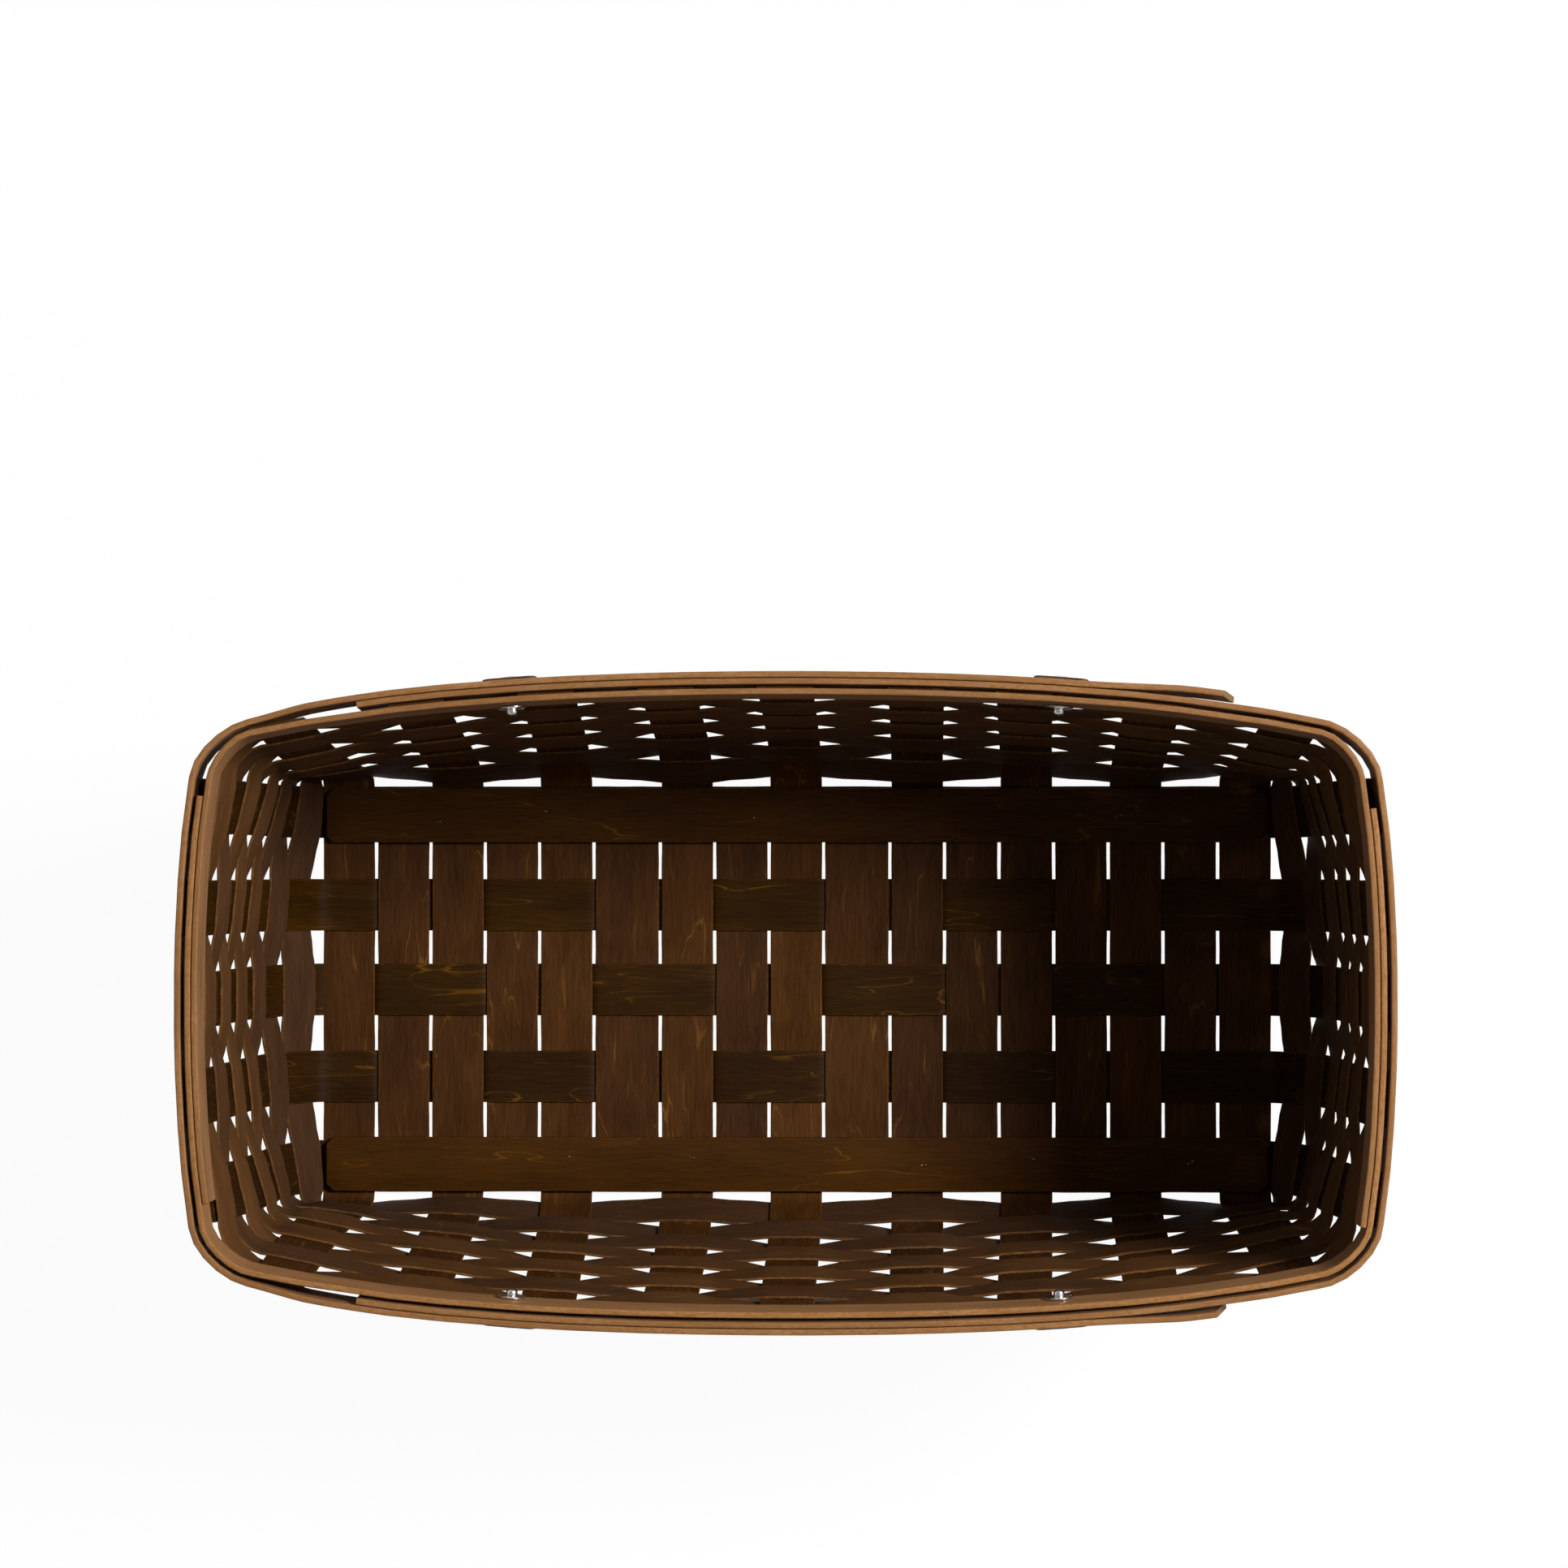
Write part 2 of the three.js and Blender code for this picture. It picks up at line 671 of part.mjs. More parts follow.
// A handle strap hangs in a U from its two tabs, its face to the wall
function strapGeometry({ side, rivets }) {
  const outward = new THREE.Vector3(0, -1, 0).applyAxisAngle(upward, side.turn);
  const tops = rivets.map((matrix) => {
    const middle = new THREE.Vector3(0, tabBottom, (tabInside + tabOutside) / 2).applyMatrix4(matrix);
    return middle.addScaledVector(upward, -strapGap);
  });
  const turns = rivets.map((matrix) => {
    const out = new THREE.Vector3().setFromMatrixColumn(matrix, 2);
    return out.setZ(0).normalize();
  });
  const controlDepth = handleDrop / curveDepthShare;
  const lows = tops.map((top) => top.clone().addScaledVector(upward, -controlDepth));
  const path = new THREE.CubicBezierCurve3(tops[0], lows[0], lows[1], tops[1]);
  const stations = Array.from({ length: strapSegments + 1 }, (_, index) => {
    const share = index / strapSegments;
    const centre = path.getPoint(share);
    const depthShare = (tops[0].z - centre.z) / handleDrop;
    const out = turns[share < 0.5 ? 0 : 1].clone().lerp(outward, 1 - (1 - depthShare) ** 2).normalize();
    const across = out.clone().cross(path.getTangent(share)).setLength(strapWidth / 2);
    return { centre, across, through: out.multiplyScalar(strapThickness / 2) };
  });
  return stripGeometry(stations, false);
}

for (const handle of handles) {
  handle.rivets.forEach((matrix, index) => {
    const end = `${handle.name}_${handle.ends[index]}`;
    placeByMatrix(addMesh(`rivet_${end}`, rivetGeometry(), metalColour, metalRoughness, 1), matrix);
    placeByMatrix(addMesh(`washer_${end}`, washerGeometry(), metalColour, metalRoughness, 1), matrix);
    placeByMatrix(addMesh(`handle_tab_${end}`, tabGeometry(), leatherColour, leatherRoughness), matrix);
  });
  addMesh(`handle_strap_${handle.name}`, strapGeometry(handle), leatherColour, leatherRoughness);
}

export default basket;
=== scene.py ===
# The looks of a tote basket woven from flat wood splints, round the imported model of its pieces.
# Lengths are in metres. The origin is under the middle of the base. +X runs along the basket and +Z is up.
# Going round means anticlockwise from above. A turn is counted in stakes: stake 0 is at the left end of the
# front, and a place between two stakes has a fraction.

import math
import random
from collections import namedtuple

import bmesh
import bpy
from mathutils import Matrix, Vector


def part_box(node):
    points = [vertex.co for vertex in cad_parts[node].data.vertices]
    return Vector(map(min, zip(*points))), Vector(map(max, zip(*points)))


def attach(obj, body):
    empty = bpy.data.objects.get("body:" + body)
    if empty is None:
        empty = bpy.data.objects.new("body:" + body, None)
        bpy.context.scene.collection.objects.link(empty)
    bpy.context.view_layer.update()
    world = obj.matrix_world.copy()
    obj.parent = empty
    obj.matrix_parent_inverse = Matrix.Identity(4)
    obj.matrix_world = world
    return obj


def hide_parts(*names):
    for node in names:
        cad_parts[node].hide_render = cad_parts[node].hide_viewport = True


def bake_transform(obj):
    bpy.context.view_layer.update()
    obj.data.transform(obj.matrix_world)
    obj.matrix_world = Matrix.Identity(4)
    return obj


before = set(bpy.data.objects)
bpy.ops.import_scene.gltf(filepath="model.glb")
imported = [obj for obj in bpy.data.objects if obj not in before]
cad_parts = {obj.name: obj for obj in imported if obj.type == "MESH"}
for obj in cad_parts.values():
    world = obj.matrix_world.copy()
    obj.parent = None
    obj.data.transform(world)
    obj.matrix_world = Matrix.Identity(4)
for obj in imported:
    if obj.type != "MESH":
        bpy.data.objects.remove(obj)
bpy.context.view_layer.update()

MM = 0.001

# Splints
SPLINT_THICKNESS = 1.2 * MM
PLAY = 0.3 * MM
LAYER = (SPLINT_THICKNESS + PLAY) / 2
BASE_MIDDLE = LAYER + SPLINT_THICKNESS / 2
CROSS_SLOPE_OVERLAP = -1.5 * MM
LONG_SLOPE_OVERLAP = 0.9 * MM
SLOPE_STEPS = 6
LEAST_SPACING = 0.2 * MM
STAKE_WIDTH = 25.2 * MM
LONG_STAKE_WIDTH = 25.4 * MM
WEAVER_WIDTH = 23.6 * MM
COURSE_GAP = 0.58 * MM
WEAVERS = 9
CROSS_SPLINTS = 17
OUTER_LONG_STAKE = 87 * MM
HANDLE_STAKES = (5, 13)
LONG_STAKE_SHARES = [1, 0.478, 0, -0.49, -0.995]  # the places of the five rows, from the back

# Walls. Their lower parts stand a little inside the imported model's, as the photograph shows them.
FOOT_HEIGHT = 3.2 * MM
FOOT_SIDE_REACH = 2.7 * MM
FOOT_END_REACH = 2.8 * MM
FIRST_COURSE_RISE = 23.8 * MM
SIDE_FLARE = 37.6 * MM
END_FLARE = 30.4 * MM
SIDE_TURN_UP_SHARE = 0.38
END_TURN_UP_SHARE = 0.86
TURN_UP_RISE_SHARE = 0.12
RIM_SIDE_BOW = 14.7 * MM
RIM_END_BOW = 4.8 * MM
FOOT_SIDE_BOW = -1.6 * MM
FOOT_END_BOW = 1.4 * MM
BELLY_SIDE_BOW = 3 * MM
BELLY_END_BOW = 6.5 * MM
SIDE_BOW_RISE_SHARE = 0.17
END_BOW_RISE_SHARE = 0.057
SIDE_SQUARE_SHARE = 0.68
END_SQUARE_SHARE = 0.85
CORNER_STAKE_LEAN = 9.2 * MM
HANDLE_STAKE_LEAN = 5.3 * MM
END_STAKE_LEAN = 1.6 * MM
CORNER_HANDLE_SHARE = 0.34
RIM_CORNER_HANDLE_SHARE = 0.3

# Rim
RIM_WIDTH = 24.8 * MM
RIM_THICKNESS = 2.8 * MM
RIM_JOGGLE_HEIGHT = 4.8 * MM
JOGGLE_CLEARANCE = 0.8 * MM
RIM_SIDE_STEP = 0.6 * MM
RIM_END_STEP = 4.8 * MM
RIM_SIDE_LEAN = 1.7 * MM
RIM_END_LEAN = 0.6 * MM
STAKE_TOP_SETBACK = 5 * MM
FREE_END_STAND_OFF = 2.3 * MM
FREE_END_SLOPE = 6 * MM

# Rivets and handles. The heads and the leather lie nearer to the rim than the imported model's.
RIVET_FROM_STAKE = 4 * MM
RIVET_DROP = 18 * MM
STRAP_WIDTH = 25 * MM
STRAP_THICKNESS = 1.8 * MM
LEATHER_MIDDLE = 7.9 * MM
TAB_TOP = 6.5 * MM
TAB_LENGTH = 22.5 * MM
TAB_CORNER = 3 * MM
STRAP_GAP = 0.6 * MM
HANDLE_DROP = 98 * MM
CURVE_DEPTH_SHARE = 0.75
STRAP_STEPS = 90

# Rivets and washers as (radius, place along the rivet) in millimetres, with the inner end first
RIVET_PROFILE = [
    (0, -8.1), (1.1, -8.02), (1.9, -7.75), (2.4, -7.3), (2.6, -6.7), (2.6, -5.1), (1.5, -5.1),
    (1.5, 8.8), (4.4, 8.8), (4.6, 8.95), (4.45, 9.2), (3.9, 9.45), (3, 9.65), (1.6, 9.8), (0, 9.85),
]
WASHER_PROFILE = [
    (1.8, -4.85), (1.95, -5), (6.1, -5), (6.3, -4.8), (6.3, -4.2), (6.1, -4), (1.95, -4), (1.8, -4.15),
]

# Staples through the battens. The spots are (x, y) in millimetres
STAPLE_WIDTH = 4 * MM
STAPLE_WIRE = 0.45 * MM
STAPLE_BEND = 0.45 * MM
STAPLE_BEND_STEP = math.pi / 10
STAPLE_LEG = 1.2 * MM
STAPLE_SINK = 0.14 * MM
STAPLE_SPIN = 0.5  # the most that chance turns a staple, in radians
STAPLE_SPOTS = [
    (-176, 82), (-123, 87.5), (-20, 84), (61, 90), (158, 85),
    (-110, -82), (-50.5, -82), (62.5, -85.5), (115, -82), (193, -84),
]

# Camera, in the pixels of the photograph
IMAGE_PIXELS = 1932
FOCAL_PIXELS = 7280
SENSOR = 36
CAMERA_PLACE = Vector((63.6, 70.6, 2900)) * MM
CAMERA_AIM = Vector((-6.1, 100.9, 0)) * MM
CAMERA_CLIP_END = 20


# Camera

def put_in_scene(name, data):
    holder = bpy.data.objects.new(name, data)
    bpy.context.scene.collection.objects.link(holder)
    return holder


def add_camera():
    camera = bpy.data.cameras.new("camera")
    camera.sensor_width = SENSOR
    camera.lens = SENSOR * FOCAL_PIXELS / IMAGE_PIXELS
    camera.clip_end = CAMERA_CLIP_END
    holder = put_in_scene("camera", camera)
    back = (CAMERA_PLACE - CAMERA_AIM).normalized()
    right = Vector((0, 1, 0)).cross(back).normalized()
    up = back.cross(right)
    turn = Matrix((right, up, back)).transposed().to_4x4()
    holder.matrix_world = Matrix.Translation(CAMERA_PLACE) @ turn
    bpy.context.scene.camera = holder


add_camera()


# Node trees

def feed(tree, node, inputs):
    """Gives a node's inputs their numbers, colours or other nodes' outputs."""
    for key, value in inputs.items():
        if isinstance(value, bpy.types.Node):
            value = next(socket for socket in value.outputs if socket.enabled)
        if isinstance(value, bpy.types.NodeSocket):
            tree.links.new(value, node.inputs[key])
        else:
            node.inputs[key].default_value = value


def add_node(tree, kind, inputs=None, **settings):
    made = tree.nodes.new(kind)
    for name, value in settings.items():
        setattr(made, name, value)
    feed(tree, made, inputs or {})
    return made


def maths(tree, operation, *values):
    return add_node(tree, "ShaderNodeMath", dict(enumerate(values)), operation=operation)


def product(tree, first, second):
    return maths(tree, "MULTIPLY", first, second)


def vector_maths(tree, operation, *values):
    return add_node(tree, "ShaderNodeVectorMath", dict(enumerate(values)), operation=operation)


def scaled(tree, vector, amount):
    return add_node(tree, "ShaderNodeVectorMath", {0: vector, "Scale": amount}, operation="SCALE")


WHOLE = (0.0, 1.0)


def remap(tree, value, span, to_span=WHOLE, kind="LINEAR"):
    """A value moved from its place in one span to the same place in another."""
    names = ("Value", "From Min", "From Max", "To Min", "To Max")
    inputs = dict(zip(names, (value, *span, *to_span)))
    return add_node(tree, "ShaderNodeMapRange", inputs, interpolation_type=kind)


def mixed_colours(tree, share, first, second):
    made = add_node(tree, "ShaderNodeMix", data_type="RGBA")
    places = [place for place, socket in enumerate(made.inputs) if socket.enabled]
    feed(tree, made, dict(zip(places, (share, first, second))))
    return next(socket for socket in made.outputs if socket.enabled)


def colour(red, green, blue):
    return (red, green, blue, 1)


# Materials

# Patterns in wood as (repeats in a metre along the grain, the same across it, detail, coarseness)
FIBRES = (75, 1150, 4, 0.7)
CLOUDS = (16, 60, 3, 0.55)
PORES = (220, 4200, 2, 0.7)
SPECKLES = (330, 900, 3, 0.7)
RINGS = (6.5, 46, 2.6, 0.55)
RING_DISTORTION = 0.4
RING_COUNT = 7.5
RING_JAG = 0.16
RING_LINE = 0.042
# Parts of a noise's range, from which a look goes from none to all
MAIN_RANGE = (0.3, 0.7)
CLOUD_RANGE = (0.3, 0.72)
RING_RANGE = (0.46, 0.62)
PORE_RANGE = (0.52, 0.75)
SPECKLE_RANGE = (0.46, 0.64)
FIBRE_SHARE = 0.55
TONE_HUES = (0.497, 0.503)
TONE_SATURATIONS = (0.93, 1.04)
TONE_VALUES = (0.62, 1.32)
PORE_SHARE = 0.4
PORE_STAIN_SHARE = 0.35
LEAST_RUBBED = 0.15
ROUGHER_FIBRES, SMOOTHER_FIBRES = 0.1, -0.06
FIBRE_RELIEF, PORE_RELIEF = 0.6, -0.5
WOOD_BUMP = {"Strength": 0.35, "Distance": 0.0003}


def new_material(name):
    material = bpy.data.materials.new(name)
    material.use_nodes = True
    tree = material.node_tree
    tree.nodes.clear()
    shader = add_node(tree, "ShaderNodeBsdfPrincipled")
    add_node(tree, "ShaderNodeOutputMaterial", {"Surface": shader})
    return material, tree, shader


def attribute(tree, name, output):
    return add_node(tree, "ShaderNodeAttribute", attribute_name=name).outputs[output]


def noise(tree, place, scale, detail, coarseness=0.5, distortion=0.0):
    names = ("Vector", "Scale", "Detail", "Roughness", "Distortion")
    inputs = dict(zip(names, (place, scale, detail, coarseness, distortion)))
    return add_node(tree, "ShaderNodeTexNoise", inputs).outputs["Fac"]


def raised(tree, bump, height):
    return add_node(tree, "ShaderNodeBump", {**bump, "Height": height})


def wood(name, dark, light, streak, streak_share, edge, edge_share, roughness, gloss):
    """Stained wood with growth rings and rubbed edges, whose grain and tone come from the piece."""
    material, tree, shader = new_material(name)
    dark, light, streak, edge = [colour(*given) for given in (dark, light, streak, edge)]
    grain = attribute(tree, "grain", "Vector")
    tone = attribute(tree, "tone", "Fac")
    rubbed = attribute(tree, "rubbed", "Fac")

    def pattern(kind, distortion=0.0):
        along, across, detail, coarseness = kind
        place = vector_maths(tree, "MULTIPLY", grain, (along, across, across))
        return noise(tree, place, 1.0, detail, coarseness, distortion)

    fibres = pattern(FIBRES)
    clouds = pattern(CLOUDS)
    pores = pattern(PORES)
    # Growth rings cut nearly flat show as thin, long and uneven contour lines
    rings = pattern(RINGS, RING_DISTORTION)
    height = maths(tree, "MULTIPLY_ADD", rings, RING_COUNT, product(tree, fibres, RING_JAG))
    ripple = maths(tree, "PINGPONG", height, 0.5)
    line = remap(tree, ripple, (0.0, RING_LINE), (1.0, 0.0), "SMOOTHSTEP")
    shown = product(tree, product(tree, line, remap(tree, clouds, RING_RANGE)), streak_share)

    cloud_part = product(tree, remap(tree, clouds, CLOUD_RANGE), 1 - FIBRE_SHARE)
    base_mix = maths(tree, "MULTIPLY_ADD", remap(tree, fibres, MAIN_RANGE), FIBRE_SHARE, cloud_part)
    toned = add_node(tree, "ShaderNodeHueSaturation", {
        "Hue": remap(tree, tone, WHOLE, TONE_HUES),
        "Saturation": remap(tree, tone, WHOLE, TONE_SATURATIONS),
        "Value": remap(tree, tone, WHOLE, TONE_VALUES),
        "Color": mixed_colours(tree, base_mix, dark, light)})
    streaked = mixed_colours(tree, shown, toned, streak)
    pore_mix = remap(tree, pores, PORE_RANGE, (0.0, PORE_SHARE))
    pore_colour = mixed_colours(tree, PORE_STAIN_SHARE, colour(0, 0, 0), dark)
    porous = mixed_colours(tree, pore_mix, streaked, pore_colour)
    speckled = remap(tree, pattern(SPECKLES), SPECKLE_RANGE, (LEAST_RUBBED, 1.0))
    worn = product(tree, product(tree, rubbed, speckled), edge_share)

    shine_range = (roughness + ROUGHER_FIBRES, roughness + SMOOTHER_FIBRES)
    relief = maths(tree, "MULTIPLY_ADD", fibres, FIBRE_RELIEF, product(tree, pores, PORE_RELIEF))
    feed(tree, shader, {
        "Base Color": mixed_colours(tree, worn, porous, edge),
        "Roughness": remap(tree, fibres, MAIN_RANGE, shine_range),
        "Specular IOR Level": gloss,
        "Normal": raised(tree, WOOD_BUMP, relief)})
    return material


CROSS_WOOD = wood(
    "stained_cross_splint", dark=(0.023, 0.0082, 0.0016), light=(0.082, 0.0305, 0.0072),
    streak=(0.22, 0.095, 0.017), streak_share=0.5,
    edge=(0.16, 0.065, 0.014), edge_share=0.4, roughness=0.6, gloss=0.04)
# The long splints' grain runs along X. Their golden colour, beside the greyer cross splints, is stain plus
# painted sheen, standing in for the light that grain running this way reflects.
LONG_WOOD_WITH_PAINTED_SHEEN = wood(
    "stained_long_splint_with_painted_sheen", dark=(0.0125, 0.0044, 0.0003), light=(0.041, 0.0155, 0.0012),
    streak=(0.17, 0.072, 0.006), streak_share=0.6,
    edge=(0.12, 0.05, 0.006), edge_share=0.4, roughness=0.55, gloss=0.05)
WEAVER_WOOD = wood(
    "stained_weaver", dark=(0.05, 0.02, 0.0055), light=(0.122, 0.053, 0.0185),
    streak=(0.2, 0.09, 0.027), streak_share=0.3,
    edge=(0.24, 0.105, 0.026), edge_share=0.45, roughness=0.6, gloss=0.045)
# The battens' grain also runs along X, and their golden colour is likewise stain plus painted sheen.
BATTEN_WOOD_WITH_PAINTED_SHEEN = wood(
    "stained_batten_with_painted_sheen", dark=(0.027, 0.0087, 0.0002), light=(0.068, 0.0235, 0.0007),
    streak=(0.17, 0.07, 0.005), streak_share=0.5,
    edge=(0.15, 0.055, 0.012), edge_share=0.5, roughness=0.55, gloss=0.05)
RIM_WOOD = wood(
    "stained_rim", dark=(0.175, 0.077, 0.027), light=(0.405, 0.201, 0.081),
    streak=(0.46, 0.25, 0.11), streak_share=0.3,
    edge=(0.22, 0.088, 0.014), edge_share=0.9, roughness=0.5, gloss=0.12)
CUT_WOOD = wood(
    "bare_cut_end", dark=(0.12, 0.066, 0.02), light=(0.25, 0.145, 0.052),
    streak=(0.15, 0.08, 0.03), streak_share=0.3,
    edge=(0.3, 0.19, 0.08), edge_share=0.3, roughness=0.75, gloss=0.1)

DARK_HIDE = colour(0.031, 0.0122, 0.0052)
LIGHT_HIDE = colour(0.066, 0.0262, 0.0108)
WORN_HIDE = colour(0.13, 0.058, 0.024)
PEBBLE_SCALE = 900.0
PEBBLE_EDGE = 0.25
CREASE_SCALE = 420.0
CREASE_RELIEF = 0.5
CREASE_RANGE = (0.4, 0.65)
HIDE_SCALE = 38.0
HIDE_WEAR = (0.2, 0.9)
HIDE_ROUGHNESS = (0.5, 0.66)
HIDE_GLOSS = 0.14
HIDE_BUMP = {"Strength": 0.3, "Distance": 0.0002}


def leather(name):
    material, tree, shader = new_material(name)
    grain = attribute(tree, "grain", "Vector")
    rubbed = attribute(tree, "rubbed", "Fac")
    inputs = {"Vector": grain, "Scale": PEBBLE_SCALE}
    pebbles = add_node(tree, "ShaderNodeTexVoronoi", inputs, feature="DISTANCE_TO_EDGE").outputs["Distance"]
    creases = noise(tree, grain, CREASE_SCALE, detail=4, coarseness=0.6)
    patches = noise(tree, grain, HIDE_SCALE, detail=3)
    hide = mixed_colours(tree, remap(tree, patches, MAIN_RANGE), DARK_HIDE, LIGHT_HIDE)
    worn = product(tree, rubbed, remap(tree, creases, CREASE_RANGE, HIDE_WEAR))
    depth = remap(tree, pebbles, (0.0, PEBBLE_EDGE), kind="SMOOTHSTEP")
    relief = maths(tree, "MULTIPLY_ADD", creases, CREASE_RELIEF, depth)
    feed(tree, shader, {
        "Base Color": mixed_colours(tree, worn, hide, WORN_HIDE),
        "Roughness": remap(tree, creases, MAIN_RANGE, HIDE_ROUGHNESS),
        "Specular IOR Level": HIDE_GLOSS,
        "Normal": raised(tree, HIDE_BUMP, relief)})
    return material


BRIGHT_PLATE, DULL_PLATE = colour(0.8, 0.78, 0.74), colour(0.6, 0.57, 0.52)
PLATE_SCALE = 260.0
PLATE_RANGE = (0.35, 0.7)
PLATE_ROUGHNESS = (0.14, 0.3)
SCRATCH_SCALE = 1400.0
PLATE_BUMP = {"Strength": 0.2, "Distance": 0.0001}


def plated_steel(name):
    material, tree, shader = new_material(name)
    place = add_node(tree, "ShaderNodeTexCoord").outputs["Object"]
    scratches = noise(tree, place, SCRATCH_SCALE, detail=4, coarseness=0.7)
    patches = noise(tree, place, PLATE_SCALE, detail=3)
    feed(tree, shader, {
        "Base Color": mixed_colours(tree, remap(tree, patches, PLATE_RANGE), BRIGHT_PLATE, DULL_PLATE),
        "Metallic": 1.0,
        "Roughness": remap(tree, scratches, MAIN_RANGE, PLATE_ROUGHNESS),
        "Normal": raised(tree, PLATE_BUMP, scratches)})
    return material


STAINED_WIRE, BARE_WIRE = colour(0.03, 0.013, 0.004), colour(0.5, 0.46, 0.38)
WIRE_SPOT_SCALE = 900.0
WIRE_SPOT_RANGE = (0.56, 0.62)
WIRE_ROUGHNESS = (0.7, 0.3)
WIRE_METALLIC = 0.5


def stained_wire(name):
    """Wire under the same stain as the wood, worn bright in small spots."""
    material, tree, shader = new_material(name)
    place = add_node(tree, "ShaderNodeTexCoord").outputs["Object"]
    spots = noise(tree, place, WIRE_SPOT_SCALE, detail=3, coarseness=0.6)
    bare = remap(tree, spots, WIRE_SPOT_RANGE)
    feed(tree, shader, {
        "Base Color": mixed_colours(tree, bare, STAINED_WIRE, BARE_WIRE),
        "Metallic": WIRE_METALLIC,
        "Roughness": remap(tree, bare, WHOLE, WIRE_ROUGHNESS)})
    return material


LEATHER = leather("dark_leather")
STEEL = plated_steel("plated_steel")
WIRE = stained_wire("stained_wire")


# Strips, made by carrying a section along a guide

# A guide is a chain of points with their centre, the directions across and through the strip, their
# distance along and their share of the section's width. A section is a closed outline.
STRIP_INPUTS = {
    "Geometry": "Geometry", "Section": "Object", "Edge Wave": "Float", "Wave Length": "Float",
    "Seed": "Float", "Tone": "Float", "Wood": "Material", "Cut End": "Material",
}
# Each edge of each strip reads the noise of its wave at a place of its own, and each grain its own part
EDGE_SHIFT = 7.31
WAVE_SHIFT = 3.17
GRAIN_SHIFT = 1.37
CAP_CORNERS = 4  # a face with more corners than this is a cut end


def new_tree(name, inputs):
    """A tree of nodes with named inputs, and the sockets that give them."""
    tree = bpy.data.node_groups.new(name, "GeometryNodeTree")
    for label, kind in inputs.items():
        tree.interface.new_socket(label, in_out="INPUT", socket_type=f"NodeSocket{kind}")
    tree.interface.new_socket("Geometry", in_out="OUTPUT", socket_type="NodeSocketGeometry")
    return tree, add_node(tree, "NodeGroupInput").outputs


def shape_given(tree, socket):
    found = add_node(tree, "GeometryNodeObjectInfo", {"Object": socket}, transform_space="ORIGINAL")
    return found.outputs["Geometry"]


def strip_tree():
    tree, given = new_tree("strip_along_guide", STRIP_INPUTS)
    path = add_node(tree, "GeometryNodeMeshToCurve", {"Mesh": given["Geometry"]})
    loop = add_node(tree, "GeometryNodeMeshToCurve", {"Mesh": shape_given(tree, given["Section"])})
    body = add_node(tree, "GeometryNodeCurveToMesh", {
        "Curve": path, "Profile Curve": loop, "Fill Caps": True})

    def named(name, kind="FLOAT_VECTOR"):
        found = add_node(tree, "GeometryNodeInputNamedAttribute", {"Name": name}, data_type=kind)
        return found.outputs["Attribute"]

    def store(geometry, name, value, kind):
        inputs = {"Geometry": geometry, "Name": name, "Value": value}
        return add_node(tree, "GeometryNodeStoreNamedAttribute", inputs, data_type=kind, domain="POINT")

    # A section's point gives its place across and through the strip, and the share of the way to its edge
    spot = add_node(tree, "ShaderNodeSeparateXYZ", {0: named("spot")}).outputs
    run = named("run", "FLOAT")
    side = maths(tree, "SIGN", spot["Z"])
    wave_place = maths(tree, "DIVIDE", run, given["Wave Length"])
    wave_shift = product(tree, given["Seed"], WAVE_SHIFT)
    wave_seed = maths(tree, "MULTIPLY_ADD", side, EDGE_SHIFT, wave_shift)
    wave = add_node(tree, "ShaderNodeTexNoise", {
        "W": maths(tree, "ADD", wave_place, wave_seed), "Scale": 1.0, "Detail": 3.0, "Roughness": 0.6},
        noise_dimensions="1D")
    swing = product(tree, maths(tree, "SUBTRACT", wave.outputs["Fac"], 0.5), given["Edge Wave"])
    widened = maths(tree, "MULTIPLY_ADD", spot["Z"], product(tree, swing, side), spot["X"])
    across_place = product(tree, widened, named("breadth", "FLOAT"))
    moved = vector_maths(tree, "ADD", scaled(tree, named("across"), across_place),
                         scaled(tree, named("through"), spot["Y"]))
    placed = add_node(tree, "GeometryNodeSetPosition", {
        "Geometry": body, "Position": vector_maths(tree, "ADD", named("centre"), moved)})
    shift = product(tree, given["Seed"], GRAIN_SHIFT)
    grain = add_node(tree, "ShaderNodeCombineXYZ", {
        "X": maths(tree, "ADD", run, shift), "Y": maths(tree, "ADD", across_place, shift), "Z": spot["Y"]})
    toned = store(store(placed, "grain", grain, "FLOAT_VECTOR"), "tone", given["Tone"], "FLOAT")
    smooth = add_node(tree, "GeometryNodeSetShadeSmooth", {"Geometry": toned})
    real = add_node(tree, "GeometryNodeRealizeInstances", {"Geometry": smooth})
    wooden = add_node(tree, "GeometryNodeSetMaterial", {"Geometry": real, "Material": given["Wood"]})
    corners = add_node(tree, "GeometryNodeInputMeshFaceNeighbors").outputs["Vertex Count"]
    is_cap = add_node(tree, "FunctionNodeCompare", {2: corners, 3: CAP_CORNERS},
                      data_type="INT", operation="GREATER_THAN")
    finished = add_node(tree, "GeometryNodeSetMaterial", {
        "Geometry": wooden, "Selection": is_cap, "Material": given["Cut End"]})
    add_node(tree, "NodeGroupOutput", {"Geometry": finished})
    return tree


STRIP_TREE = strip_tree()


def apply_tree(holder, tree, name, inputs):
    """The plain result of a tree on a holder, which goes. Inputs are set by their sockets' identifiers."""
    modifier = holder.modifiers.new("tree", "NODES")
    modifier.node_group = tree
    for item in tree.interface.items_tree:
        if item.item_type == "SOCKET" and item.in_out == "INPUT" and item.name in inputs:
            modifier[item.identifier] = inputs[item.name]
    graph = bpy.context.evaluated_depsgraph_get()
    finished = holder.evaluated_get(graph)
    mesh = bpy.data.meshes.new_from_object(finished, preserve_all_data_layers=True, depsgraph=graph)
    mesh.name = name
    holder.modifiers.clear()
    bpy.data.objects.remove(holder)
    shape = bmesh.new()
    shape.from_mesh(mesh)
    bmesh.ops.recalc_face_normals(shape, faces=shape.faces)
    shape.to_mesh(mesh)
    shape.free()
    return put_in_scene(name, mesh)


